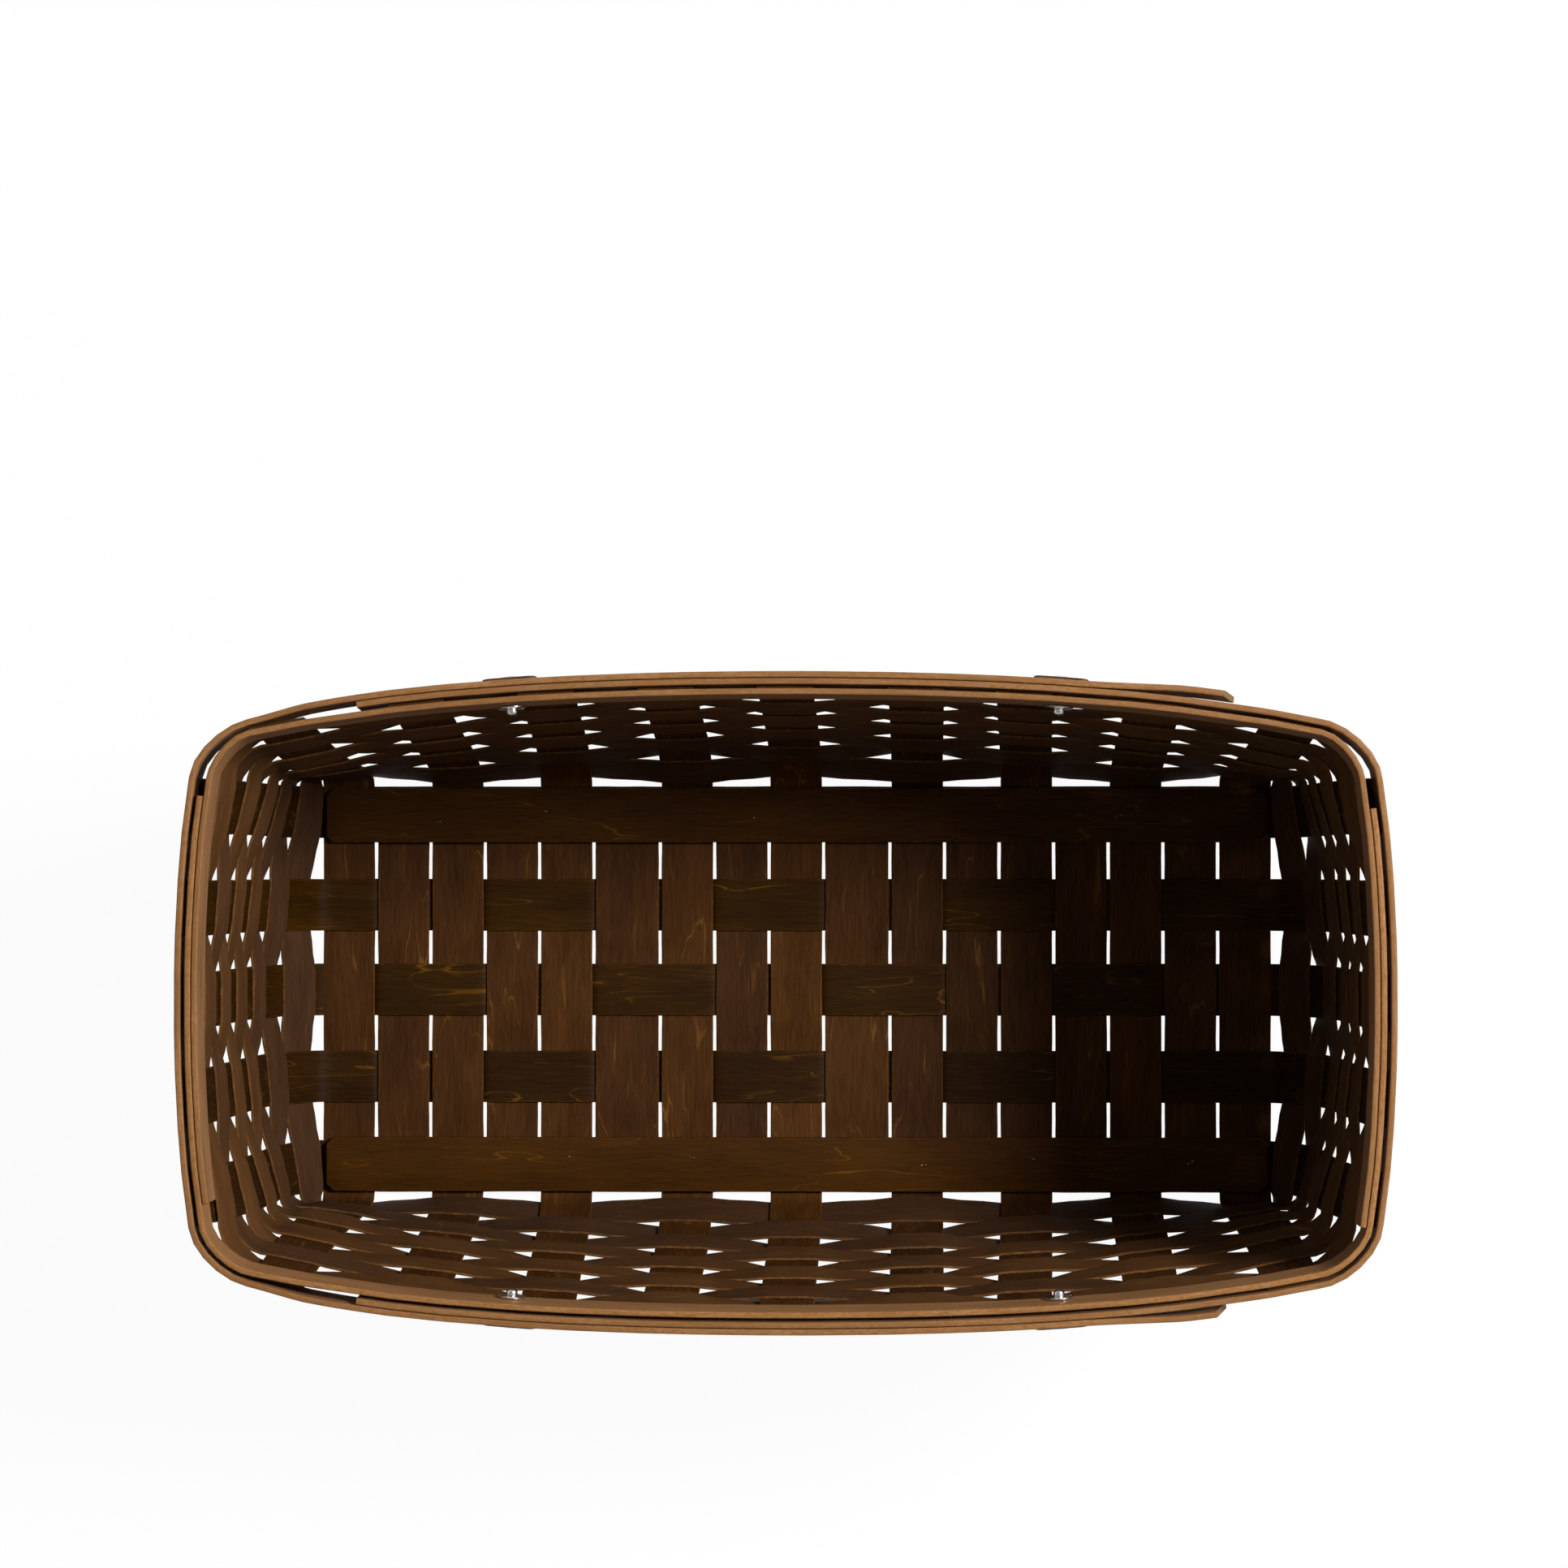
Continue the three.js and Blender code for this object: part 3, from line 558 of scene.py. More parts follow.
def add_values(mesh, values):
    """Stores numbers or vectors for the points of a mesh, from lists by name."""
    for name, rows in values.items():
        is_vector = not isinstance(rows[0], float)
        layer = mesh.attributes.new(name, "FLOAT_VECTOR" if is_vector else "FLOAT", "POINT")
        flat = [number for row in rows for number in row] if is_vector else rows
        layer.data.foreach_set("vector" if is_vector else "value", flat)


def points_with(name, points, edges, values):
    mesh = bpy.data.meshes.new(name)
    mesh.from_pydata(points, edges, [])
    add_values(mesh, values)
    return put_in_scene(name, mesh)


ROUND_STEPS = 3
# Points keep a section's faces flat near its edges, at shares of the edge's radius
FLAT_EDGE_SHARE = 2
FLAT_INNER_SHARE = 2.2
FLAT_INNER_REACH = 0.3 * MM
RUBBED_SHARE = 1.2


def section(name, width, thickness, edge_radius, groove=None):
    """A strip's outline with rounded edges. A groove is (place from the edge, half width, depth)."""
    half_width, half_thickness = width / 2, thickness / 2
    radius = min(edge_radius, half_thickness)
    quarter = []
    for step in range(ROUND_STEPS + 1):
        angle = math.pi / 2 * step / ROUND_STEPS
        across, through = radius * math.sin(angle), radius * math.cos(angle)
        quarter.append((half_width - radius + across, half_thickness - radius + through))
    if groove:
        place, reach, depth = groove
        middle = half_width - place
        inner = [(middle - 2 * reach, half_thickness), (middle - reach, half_thickness),
                 (middle, half_thickness - depth), (middle + reach, half_thickness)]
    else:
        inner = [(half_width - FLAT_INNER_SHARE * radius - FLAT_INNER_REACH, half_thickness)]
    upper_right = inner + [(half_width - FLAT_EDGE_SHARE * radius, half_thickness)] + quarter
    lower_right = [(a, -b) for a, b in reversed(upper_right)]
    right = upper_right + [(half_width, 0)] + lower_right
    points = right + [(-a, b) for a, b in reversed(right)]
    count = len(points)
    edges = [(k, (k + 1) % count) for k in range(count)]
    flat_reach = half_width - RUBBED_SHARE * radius
    return points_with(name, [(a, b, 0) for a, b in points], edges, {
        "spot": [(a, b, a / half_width) for a, b in points],
        "rubbed": [1.0 if abs(a) > flat_reach else 0.0 for a, _ in points]})


def guide(name, stations):
    """A chain of points from stations (centre, across, through, breadth)."""
    values = dict(zip(("centre", "across", "through", "breadth"), zip(*stations)))
    points = values["centre"]
    runs = [0.0]
    for before, point in zip(points, points[1:]):
        runs.append(runs[-1] + (point - before).length)
    edges = [(k, k + 1) for k in range(len(points) - 1)]
    return points_with(name, points, edges, {**values, "run": runs})


# The wave of a strip's edges, as its height and its length
SPLINT_WAVE = (0.5 * MM, 30 * MM)
RIM_WAVE = (0.5 * MM, 45 * MM)
STRAP_WAVE = (0.3 * MM, 60 * MM)


def strip(name, stations, outline, material, cut_end, seed, tone, wave=SPLINT_WAVE):
    return apply_tree(guide(f"{name}_guide", stations), STRIP_TREE, name, {
        "Section": outline, "Edge Wave": wave[0], "Wave Length": wave[1], "Seed": seed, "Tone": tone,
        "Wood": material, "Cut End": cut_end})


def finish(piece, body, material_slot, *nodes):
    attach(piece, body)
    if nodes:
        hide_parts(*nodes)


# The outline of the walls' middle surface

FIRST_COURSE_TOP = FOOT_HEIGHT + FIRST_COURSE_RISE
WEAVE_TOP = FIRST_COURSE_TOP + (WEAVERS - 1) * (WEAVER_WIDTH + COURSE_GAP)
RIM_FOOT = WEAVE_TOP + RIM_JOGGLE_HEIGHT
RIM_TOP = RIM_FOOT + RIM_WIDTH


def mix(low, high, share):
    return low + (high - low) * share


cross_splints = []
for number in range(1, CROSS_SPLINTS + 1):
    if number % 2 == 0:
        low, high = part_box(f"base_filler_{number:02d}")
        cross_splints.append((low.x, high.x))
    else:
        cross_splints.append(None)
base_slit = ((cross_splints[3][0] - cross_splints[1][1]) - STAKE_WIDTH) / 2
for index in range(0, CROSS_SPLINTS, 2):
    if index:
        start = cross_splints[index - 1][1] + base_slit
    else:
        start = cross_splints[1][0] - base_slit - STAKE_WIDTH
    cross_splints[index] = (start, start + STAKE_WIDTH)
BASE_HALF_LENGTH = cross_splints[-1][1]
BASE_HALF_WIDTH = OUTER_LONG_STAKE + LONG_STAKE_WIDTH / 2
SIDE_REACH = BASE_HALF_LENGTH - STAKE_WIDTH / 2


# The outline of the middle surface at a height. Half sizes and bows are those of (long sides, ends).
Level = namedtuple("Level", "z half bow")


def wall_level(z):
    rise = (z - FOOT_HEIGHT) / (WEAVE_TOP - FOOT_HEIGHT)
    turn_up = 1 - math.exp(-rise / TURN_UP_RISE_SHARE)
    belly = math.sin(math.pi * rise)
    side_flare = SIDE_FLARE * mix(rise, turn_up, SIDE_TURN_UP_SHARE)
    end_flare = END_FLARE * mix(rise ** 2, turn_up, END_TURN_UP_SHARE)
    side_bow = mix(RIM_SIDE_BOW, FOOT_SIDE_BOW, math.exp(-rise / SIDE_BOW_RISE_SHARE))
    end_bow = mix(RIM_END_BOW, FOOT_END_BOW, math.exp(-rise / END_BOW_RISE_SHARE))
    return Level(
        z,
        (BASE_HALF_WIDTH + FOOT_SIDE_REACH + side_flare, BASE_HALF_LENGTH + FOOT_END_REACH + end_flare),
        (side_bow + BELLY_SIDE_BOW * belly, end_bow + BELLY_END_BOW * belly))


def rim_level(z):
    _, (half_width, half_length), bow = wall_level(WEAVE_TOP)
    rise = (z - RIM_FOOT) / RIM_WIDTH
    side, end = RIM_SIDE_STEP + rise * RIM_SIDE_LEAN, RIM_END_STEP + rise * RIM_END_LEAN
    return Level(z, (half_width + side, half_length + end), bow)


def course_top(course):
    return FOOT_HEIGHT if course == 0 else FIRST_COURSE_TOP + (course - 1) * (WEAVER_WIDTH + COURSE_GAP)


COURSE_LEVELS = [wall_level(course_top(course)) for course in range(WEAVERS + 1)]
RIM_LEVELS = [rim_level(RIM_FOOT), rim_level(RIM_TOP)]

REACH = (SIDE_REACH, OUTER_LONG_STAKE)
SQUARE_SHARE = (SIDE_SQUARE_SHARE, END_SQUARE_SHARE)
FRONT, RIGHT, BACK, LEFT = range(4)


def side_point(side, level, s):
    """A point on a side at a level, and the direction going round there. The front is side 0."""
    kind = side % 2
    u = s / REACH[kind]
    bow, square = level.bow[kind], SQUARE_SHARE[kind]
    out = level.half[kind] - bow * (square * u ** 2 + (1 - square) * u ** 4)
    slope = bow / REACH[kind] * (2 * square * u + 4 * (1 - square) * u ** 3)
    turn = Matrix.Rotation(side * math.pi / 2, 3, "Z")
    return turn @ Vector((s, -out, level.z)), turn @ Vector((1, slope, 0)).normalized()


# The upright stakes going round: (side, key, width, place, lean)

def cross_stake_lean(number, place):
    if number in (1, CROSS_SPLINTS):
        return math.copysign(CORNER_STAKE_LEAN, place)
    if number in HANDLE_STAKES:
        return -math.copysign(HANDLE_STAKE_LEAN, place)
    return 0.0


def cross_place(number):
    return sum(cross_splints[number - 1]) / 2


long_places = [share * OUTER_LONG_STAKE for share in LONG_STAKE_SHARES]
stake_numbers = range(1, CROSS_SPLINTS + 1, 2)


def side_stakes(side, facing):
    places = [(number, facing * cross_place(number)) for number in stake_numbers]
    return [(side, number, STAKE_WIDTH, place, cross_stake_lean(number, place)) for number, place in places]


def end_stakes(side, facing):
    lean = END_STAKE_LEAN / OUTER_LONG_STAKE
    return [(side, row, LONG_STAKE_WIDTH, facing * place, lean * place * facing)
            for row, place in enumerate(long_places)]


STAKES = [
    *side_stakes(FRONT, 1),
    *reversed(end_stakes(RIGHT, 1)),
    *reversed(side_stakes(BACK, -1)),
    *end_stakes(LEFT, -1),
]
FULL_TURN = len(STAKES)
HALF_STAKE = 0.25  # a stake takes half of a turn's unit, and the gap the other half


def index_of(side, key):
    return next(index for index, stake in enumerate(STAKES) if stake[0] == side and stake[1] == key)


def stake_at(index, level, end):
    """A place across a stake at a level: its middle where end is 0 and its edges where it is -1 or 1."""
    side, _, width, place, lean = STAKES[index % FULL_TURN]
    rise = (level.z - FOOT_HEIGHT) / (RIM_TOP - FOOT_HEIGHT)
    point, along = side_point(side, level, place + lean * rise)
    return point + along * (end * width / 2), along


def bezier(points, share):
    a, b, c, d = points
    rest = 1 - share
    point = a * rest ** 3 + b * (3 * rest ** 2 * share) + c * (3 * rest * share ** 2) + d * share ** 3
    slope = (b - a) * rest ** 2 + (c - b) * (2 * rest * share) + (d - c) * share ** 2
    return point, slope.normalized()


def round_at(turn, level, handle_share):
    """The point and the direction at a turn, at a level."""
    index = math.floor(turn + HALF_STAKE)
    past = turn - index
    if past <= HALF_STAKE:
        return stake_at(index, level, past / HALF_STAKE)
    share = (past - HALF_STAKE) / (1 - 2 * HALF_STAKE)
    from_point, from_along = stake_at(index, level, 1)
    to_point, to_along = stake_at(index + 1, level, -1)
    if STAKES[index % FULL_TURN][0] == STAKES[(index + 1) % FULL_TURN][0]:
        return from_point.lerp(to_point, share), from_along.lerp(to_along, share).normalized()
    reach = handle_share * (to_point - from_point).length
    handles = (from_point + from_along * reach, to_point - to_along * reach)
    return bezier([from_point, *handles, to_point], share)


def hoop_station(turn, levels, width, top_gap, offsets, handle_share):
    """A station of a hoop between two levels. Its top edge is a gap below the upper one, and its bottom and
    top edges stand out from the walls' middle surface by the two offsets."""
    low, low_along = round_at(turn, levels[0], handle_share)
    high, high_along = round_at(turn, levels[1], handle_share)
    rise = (high - low).normalized()
    out = (low_along + high_along).normalized().cross(rise).normalized()
    top = high - rise * top_gap + out * offsets[1]
    bottom = high - rise * (top_gap + width) + out * offsets[0]
    across = (top - bottom).normalized()
    through = (out - across * out.dot(across)).normalized()
    return (top + bottom) / 2, across, through, 1.0


# Sections of the strips

SPLINT_ROUNDING = 0.4 * MM
RIM_ROUNDING = 0.7 * MM
STRAP_ROUNDING = 0.8 * MM
STRAP_GROOVE = (2.6 * MM, 0.45 * MM, 0.22 * MM)

STAKE_SECTION = section("stake_section", STAKE_WIDTH, SPLINT_THICKNESS, SPLINT_ROUNDING)
LONG_STAKE_SECTION = section("long_stake_section", LONG_STAKE_WIDTH, SPLINT_THICKNESS, SPLINT_ROUNDING)
WEAVER_SECTION = section("weaver_section", WEAVER_WIDTH, SPLINT_THICKNESS, SPLINT_ROUNDING)
RIM_SECTION = section("rim_section", RIM_WIDTH, RIM_THICKNESS, RIM_ROUNDING)
STRAP_SECTION = section("strap_section", STRAP_WIDTH, STRAP_THICKNESS, STRAP_ROUNDING, STRAP_GROOVE)

RANDOM_SEED = 11
random.seed(RANDOM_SEED)


# Base and stakes

STEP = 4 * MM
BEND_EASING = 2  # how many times a stake's path is rounded off
GRAIN_SEEDS = (0, 40)
STAIN_RANGE = (0.3, 0.75)


def spread(first, last, step=STEP):
    """Values from one to another, evenly spread about a step apart, both included."""
    count = max(1, round(abs(last - first) / step))
    return [mix(first, last, share / count) for share in range(count + 1)]


def row_is_on_top(row, number):
    return (number // 2 + row) % 2 == 1


def swell(share):
    return (1 - math.cos(math.pi * share)) / 2


def base_heights(crossings, overlap):
    """Points along a splint on the base as (place, height), from crossings (from, to, on top)."""
    found = []
    for index, (start, end, on_top) in enumerate(crossings):
        height = LAYER if on_top else -LAYER
        before = crossings[index - 1] if index else None
        after = crossings[index + 1] if index + 1 < len(crossings) else None
        slopes_before = before and before[2] != on_top
        slopes_after = after and after[2] != on_top
        if slopes_before:
            left, right = before[1] - overlap, start + overlap
            shares = [step / SLOPE_STEPS for step in range(1, SLOPE_STEPS)]
            found += [(mix(left, right, share), height * (2 * swell(share) - 1)) for share in shares]
        first = start + overlap if slopes_before else start
        last = end - overlap if slopes_after else end
        found += [(place, height) for place in spread(first, last)]
    return [point for k, point in enumerate(found) if not k or point[0] - found[k - 1][0] > LEAST_SPACING]


def base_path(crossings, overlap, place, along_x):
    points = []
    for run, height in base_heights(crossings, overlap):
        point = (run, place) if along_x else (place, run)
        points.append(Vector((*point, BASE_MIDDLE + height)))
    return points


def wall_path(index):
    """A stake's middle line on one wall from its foot to its top, with the direction going round."""
    rim_levels = [rim_level(RIM_FOOT - JOGGLE_CLEARANCE), rim_level(RIM_TOP - STAKE_TOP_SETBACK)]
    corners = [stake_at(index, level, 0) for level in COURSE_LEVELS + rim_levels]
    found = []
    for (low, low_along), (high, high_along) in zip(corners, corners[1:]):
        for share in spread(0, 1, STEP / (high - low).length)[:-1]:
            found.append((low.lerp(high, share), low_along.lerp(high_along, share).normalized()))
    return found + [corners[-1]]


def eased(points, times):
    """The same points with their corners rounded off."""
    for _ in range(times):
        points = [points[0]] + [
            (before + here * 2 + after) / 4 for before, here, after in zip(points, points[1:], points[2:])
        ] + [points[-1]]
    return points


def stake_stations(first, last, base):
    """Stations of a stake that runs up one wall, across the base and up the wall opposite."""
    base_across = (base[-1] - base[0]).normalized().cross(Vector((0, 0, 1)))
    path = [*reversed(wall_path(first)), *[(point, base_across) for point in base], *wall_path(last)]
    centres = [point for point, _ in path]
    acrosses = [along if along.dot(base_across) > 0 else -along for _, along in path]
    return along_path(eased(centres, BEND_EASING), eased(acrosses, BEND_EASING))


def heading(points, index):
    """The direction of a chain of points at one of them."""
    before = points[max(index - 1, 0)]
    after = points[min(index + 1, len(points) - 1)]
    return (after - before).normalized()


def along_path(centres, acrosses, breadths=None):
    """Stations along a chain of points, with the given directions made square to it."""
    stations = []
    for index, (centre, given) in enumerate(zip(centres, acrosses)):
        along = heading(centres, index)
        across = (given - along * given.dot(along)).normalized()
        through = across.cross(along).normalized()
        stations.append((centre, across, through, breadths[index] if breadths else 1.0))
    return stations


def splint(node, stations, outline, material, tone=None):
    seed = random.uniform(*GRAIN_SEEDS)
    stain = random.uniform(*STAIN_RANGE)
    # A given tone replaces the random stain; for the lowest weavers it is painted shade.
    if tone is not None:
        stain = tone
    piece = strip(f"{node}_splint", stations, outline, material, material, seed, stain)
    finish(piece, "basket", "splint", node)


HALF_LONG_STAKE = LONG_STAKE_WIDTH / 2
rows_from_front = list(enumerate(long_places))[::-1]
for number in range(1, CROSS_SPLINTS + 1):
    crossings = []
    for row, place in rows_from_front:
        crossings.append((place - HALF_LONG_STAKE, place + HALF_LONG_STAKE, not row_is_on_top(row, number)))
    is_filler = number % 2 == 0
    name = f"base_filler_{number:02d}" if is_filler else f"cross_stake_{number:02d}"
    low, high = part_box(name)
    if is_filler:
        crossings[0] = (low.y, *crossings[0][1:])
        crossings[-1] = (crossings[-1][0], high.y, crossings[-1][2])
    base = base_path(crossings, CROSS_SLOPE_OVERLAP, cross_place(number), False)
    if is_filler:
        breadth = (high.x - low.x) / STAKE_WIDTH
        stations = along_path(base, [Vector((1, 0, 0))] * len(base), [breadth] * len(base))
    else:
        stations = stake_stations(index_of(FRONT, number), index_of(BACK, number), base)
    splint(name, stations, STAKE_SECTION, CROSS_WOOD)

for row, place in enumerate(long_places):
    crossings = []
    for number, ends in enumerate(cross_splints, start=1):
        crossings.append((*ends, row_is_on_top(row, number)))
    base = base_path(crossings, LONG_SLOPE_OVERLAP, place, True)
    stations = stake_stations(index_of(LEFT, row), index_of(RIGHT, row), base)
    splint(f"long_stake_{row + 1}", stations, LONG_STAKE_SECTION, LONG_WOOD_WITH_PAINTED_SHEEN)


# Weavers. Each overlaps its own start outside of one stake.

TURN_STEPS = 10
SEAM_HALF_LAP = 0.2
# Shares of the waves that make a weaver's way in and out, by how often each swings between two stakes
SWING_HARMONICS = {1: 1.115, 3: 0.0175, 5: -0.1325}
WEAVE_SWING = SPLINT_THICKNESS + 0.05 * MM
TOP_TIGHTNESS = 1.0
BOTTOM_SLACK = (1.2, 2.5)
FOOT_SLACK = (1.0, 1.7)
LAP_PLAY = 0.1 * MM
LOW_WEAVER_PAINTED_SHADE = {0: 0.02, 1: 0.1, 2: 0.25}  # painted shade: the lowest weavers are darker, standing in for the shade low in the basket


def weaver_stations(course, seam):
    """A weaver is tight along its top edge. Its bottom edge is a little too long there, and bulges."""
    levels = COURSE_LEVELS[course:course + 2]
    slacks = [random.uniform(*(BOTTOM_SLACK if course else FOOT_SLACK)) for _ in range(FULL_TURN)]
    stations = []
    start, end = seam - SEAM_HALF_LAP, seam + FULL_TURN + SEAM_HALF_LAP
    for turn in spread(start, end, 1 / TURN_STEPS):
        nearest = math.floor(turn + 0.5)
        past = turn - nearest
        sign = (-1) ** ((nearest % FULL_TURN) + course)
        swing = sum(share * math.cos(order * math.pi * past) for order, share in SWING_HARMONICS.items())
        index = math.floor(turn)
        slack = mix(slacks[index % FULL_TURN], slacks[(index + 1) % FULL_TURN], swell(turn - index))
        lap = max(0.0, min(1.0, (turn - (end - 1)) / (1 - 2 * SEAM_HALF_LAP)))
        lapped = swell(lap) * (SPLINT_THICKNESS + LAP_PLAY)
        offsets = [sign * swing * WEAVE_SWING * tightness + lapped for tightness in (slack, TOP_TIGHTNESS)]
        station = hoop_station(turn, levels, WEAVER_WIDTH, COURSE_GAP / 2, offsets, CORNER_HANDLE_SHARE)
        stations.append(station)
    return stations


for course in range(WEAVERS):
    passes_outside = [index for index in range(FULL_TURN) if (index + course) % 2 == 0]
    stations = weaver_stations(course, random.choice(passes_outside))
    splint(f"weaver_{course + 1}", stations, WEAVER_SECTION, WEAVER_WOOD, LOW_WEAVER_PAINTED_SHADE.get(course))


# Rim. Each strip follows a list of (turn, how far out it stands there).

# Where the strips end, as a share of the gap or of the stake there. A pair is (start, end) going round
OUTER_RIGHT_FRONT_END = 0.65
OUTER_RIGHT_BACK_END = 0.35
FREE_BACK_END = 0.46
FREE_FRONT_END = 0.44
INNER_FRONT_ENDS = (0.31, 0.46)
INNER_BACK_ENDS = (0, 0.6)
# How far, in stakes, a strip takes to change its layer
FREE_END_RUN = 0.6
DOUBLING_RUN = 0.45
RIM_TONES = (0.3, 0.7)
RIM_SEED, RIM_SEED_STEP = 50.0, 3


def rim_layer(number):
    """How far the middle of a layer of the rim stands out. The inner layers have numbers below 0."""
    reach = SPLINT_THICKNESS / 2 + PLAY + RIM_THICKNESS / 2 + (abs(number) - 1) * (RIM_THICKNESS + PLAY)
    return math.copysign(reach, number)


def rim_station(turn, offset):
    return hoop_station(turn, RIM_LEVELS, RIM_WIDTH, 0, (offset, offset), RIM_CORNER_HANDLE_SHARE)


def rim_stations(knots, step=1 / TURN_STEPS):
    stations = []
    for (turn, offset), (next_turn, next_offset) in zip(knots, knots[1:]):
        for place in spread(turn, next_turn, step)[:-1]:
            share = swell((place - turn) / (next_turn - turn))
            stations.append(rim_station(place, mix(offset, next_offset, share)))
    return stations + [rim_station(*knots[-1])]


def slope_cut(station, neighbour, reach):
    """An end station whose top edge is cut back towards its neighbour, and whose bottom edge stands out."""
    centre, across, through, breadth = station
    back = (neighbour[0] - centre).normalized() * (reach / RIM_WIDTH)
    return centre, across + back, through, breadth


def in_gap(index, share):
    return index + HALF_STAKE + share * (1 - 2 * HALF_STAKE)


def on_stake(index, share):
    return index + (2 * share - 1) * HALF_STAKE


front_right_end = in_gap(index_of(FRONT, 1), OUTER_RIGHT_FRONT_END)
back_right_end = in_gap(index_of(BACK, 3), OUTER_RIGHT_BACK_END)
back_free_stake = index_of(BACK, CROSS_SPLINTS - 2)
front_free_stake = index_of(FRONT, CROSS_SPLINTS - 2)
back_free_end = in_gap(back_free_stake - 1, FREE_BACK_END)
front_free_end = in_gap(front_free_stake, FREE_FRONT_END)
OUTER, OUTERMOST = rim_layer(1), rim_layer(2)
INNER, INNERMOST = rim_layer(-1), rim_layer(-2)
FREE = OUTERMOST + FREE_END_STAND_OFF

RIM_STRIPS = {
    "outer_rim_right": [(front_right_end, OUTER), (back_right_end, OUTER)],
    "outer_rim_left": [
        (back_free_end, FREE),
        (back_free_stake + FREE_END_RUN, OUTERMOST),
        (back_right_end, OUTERMOST),
        (index_of(BACK, 1) + DOUBLING_RUN, OUTER),
        (FULL_TURN - DOUBLING_RUN, OUTER),
        (FULL_TURN + front_right_end, OUTERMOST),
        (FULL_TURN + front_free_stake - FREE_END_RUN, OUTERMOST),
        (FULL_TURN + front_free_end, FREE),
    ],
    "inner_rim_front": [
        (on_stake(index_of(LEFT, 0), INNER_FRONT_ENDS[0]), INNER),
        (FULL_TURN + on_stake(index_of(RIGHT, 0), INNER_FRONT_ENDS[1]), INNER),
    ],
    "inner_rim_back": [
        (on_stake(index_of(RIGHT, 4), INNER_BACK_ENDS[0]), INNERMOST),
        (index_of(RIGHT, 0) + HALF_STAKE, INNERMOST),
        (index_of(BACK, CROSS_SPLINTS) - HALF_STAKE, INNER),
        (index_of(BACK, 1) + HALF_STAKE, INNER),
        (index_of(LEFT, 0) - HALF_STAKE, INNERMOST),
        (on_stake(index_of(LEFT, 4), INNER_BACK_ENDS[1]), INNERMOST),
    ],
}

for number, (name, knots) in enumerate(RIM_STRIPS.items()):
    stations = rim_stations(knots)
    if name == "outer_rim_left":
        stations[0] = slope_cut(stations[0], stations[1], FREE_END_SLOPE)
        stations[-1] = slope_cut(stations[-1], stations[-2], FREE_END_SLOPE)
    seed = RIM_SEED + RIM_SEED_STEP * number
    tone = random.uniform(*RIM_TONES)
    piece = strip(f"{name}_strip", stations, RIM_SECTION, RIM_WOOD, CUT_WOOD, seed, tone, RIM_WAVE)
    finish(piece, "basket", "rim", name)


# Shapes made of rings of points

def solid(points, faces):
    shape = bmesh.new()
    corners = [shape.verts.new(point) for point in points]
    for face in faces:
        shape.faces.new([corners[corner] for corner in face])
    return shape


def bands(rings):
    """The faces between each ring of corners and the next. A corner that a ring repeats counts once."""
    faces = []
    for low, high in zip(rings, rings[1:]):
        for side in range(len(low)):
            after = (side + 1) % len(low)
            faces.append(list(dict.fromkeys([low[side], low[after], high[after], high[side]])))
    return faces


def rings_of(sides, count):
    return [list(range(sides * ring, sides * (ring + 1))) for ring in range(count)]


def mesh_of(name, shape):
    """A smooth mesh of a shape, whose faces all look outwards. The shape goes."""
    bmesh.ops.recalc_face_normals(shape, faces=shape.faces)
    mesh = bpy.data.meshes.new(name)
    shape.to_mesh(mesh)
    shape.free()
    mesh.shade_smooth()
    return mesh


# Battens

BATTEN_CORNER = 3.5 * MM
BATTEN_BEVEL = 0.7 * MM
BATTEN_BEVEL_STEPS = 3
BATTEN_CUTS = 60
BATTEN_LONG_EDGE = 300 * MM
RUBBED_BEVEL_SHARES = (0.1, 0.9)


def batten(name, seed, tone):
    """A board with clipped corners and rounded edges. Its grain runs along X."""
    low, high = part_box(name)
    cut = Vector((BATTEN_CORNER, BATTEN_CORNER, 0))
    near, far = low + cut, high - cut
    outline = [
        (near.x, low.y), (far.x, low.y), (high.x, near.y), (high.x, far.y),
        (far.x, high.y), (near.x, high.y), (low.x, far.y), (low.x, near.y),
    ]
    bottom, top = rings_of(len(outline), 2)
    points = [(x, y, z) for z in (low.z, high.z) for x, y in outline]
    shape = solid(points, [bottom[::-1], top, *bands([bottom, top])])
    bmesh.ops.bevel(shape, geom=shape.edges[:], offset=BATTEN_BEVEL, segments=BATTEN_BEVEL_STEPS,
                    affect="EDGES", profile=0.5)
    long_edges = [edge for edge in shape.edges
                  if abs(edge.verts[0].co.x - edge.verts[1].co.x) > BATTEN_LONG_EDGE]
    bmesh.ops.subdivide_edges(shape, edges=long_edges, cuts=BATTEN_CUTS, use_grid_fill=True)
    mesh = mesh_of(name, shape)
    places = [vertex.co for vertex in mesh.vertices]
    least, most = [share * BATTEN_BEVEL for share in RUBBED_BEVEL_SHARES]
    add_values(mesh, {
        "grain": [(x + seed, y + seed, z) for x, y, z in places],
        "tone": [tone] * len(places),
        "rubbed": [1.0 if least < high.z - z < most else 0.0 for _, _, z in places]})
    mesh.materials.append(BATTEN_WOOD_WITH_PAINTED_SHEEN)
    finish(put_in_scene(f"{name}_board", mesh), "basket", "batten", name)


batten("base_batten_back", seed=3.1, tone=0.35)
batten("base_batten_front", seed=7.7, tone=0.5)


# Small metal. A shape is copied to each point of a holder, turned as the point says.

COPY_INPUTS = {
    "Geometry": "Geometry", "Shape": "Object", "Size": "Float", "Spin": "Float", "Seed": "Int",
    "Metal": "Material",
}


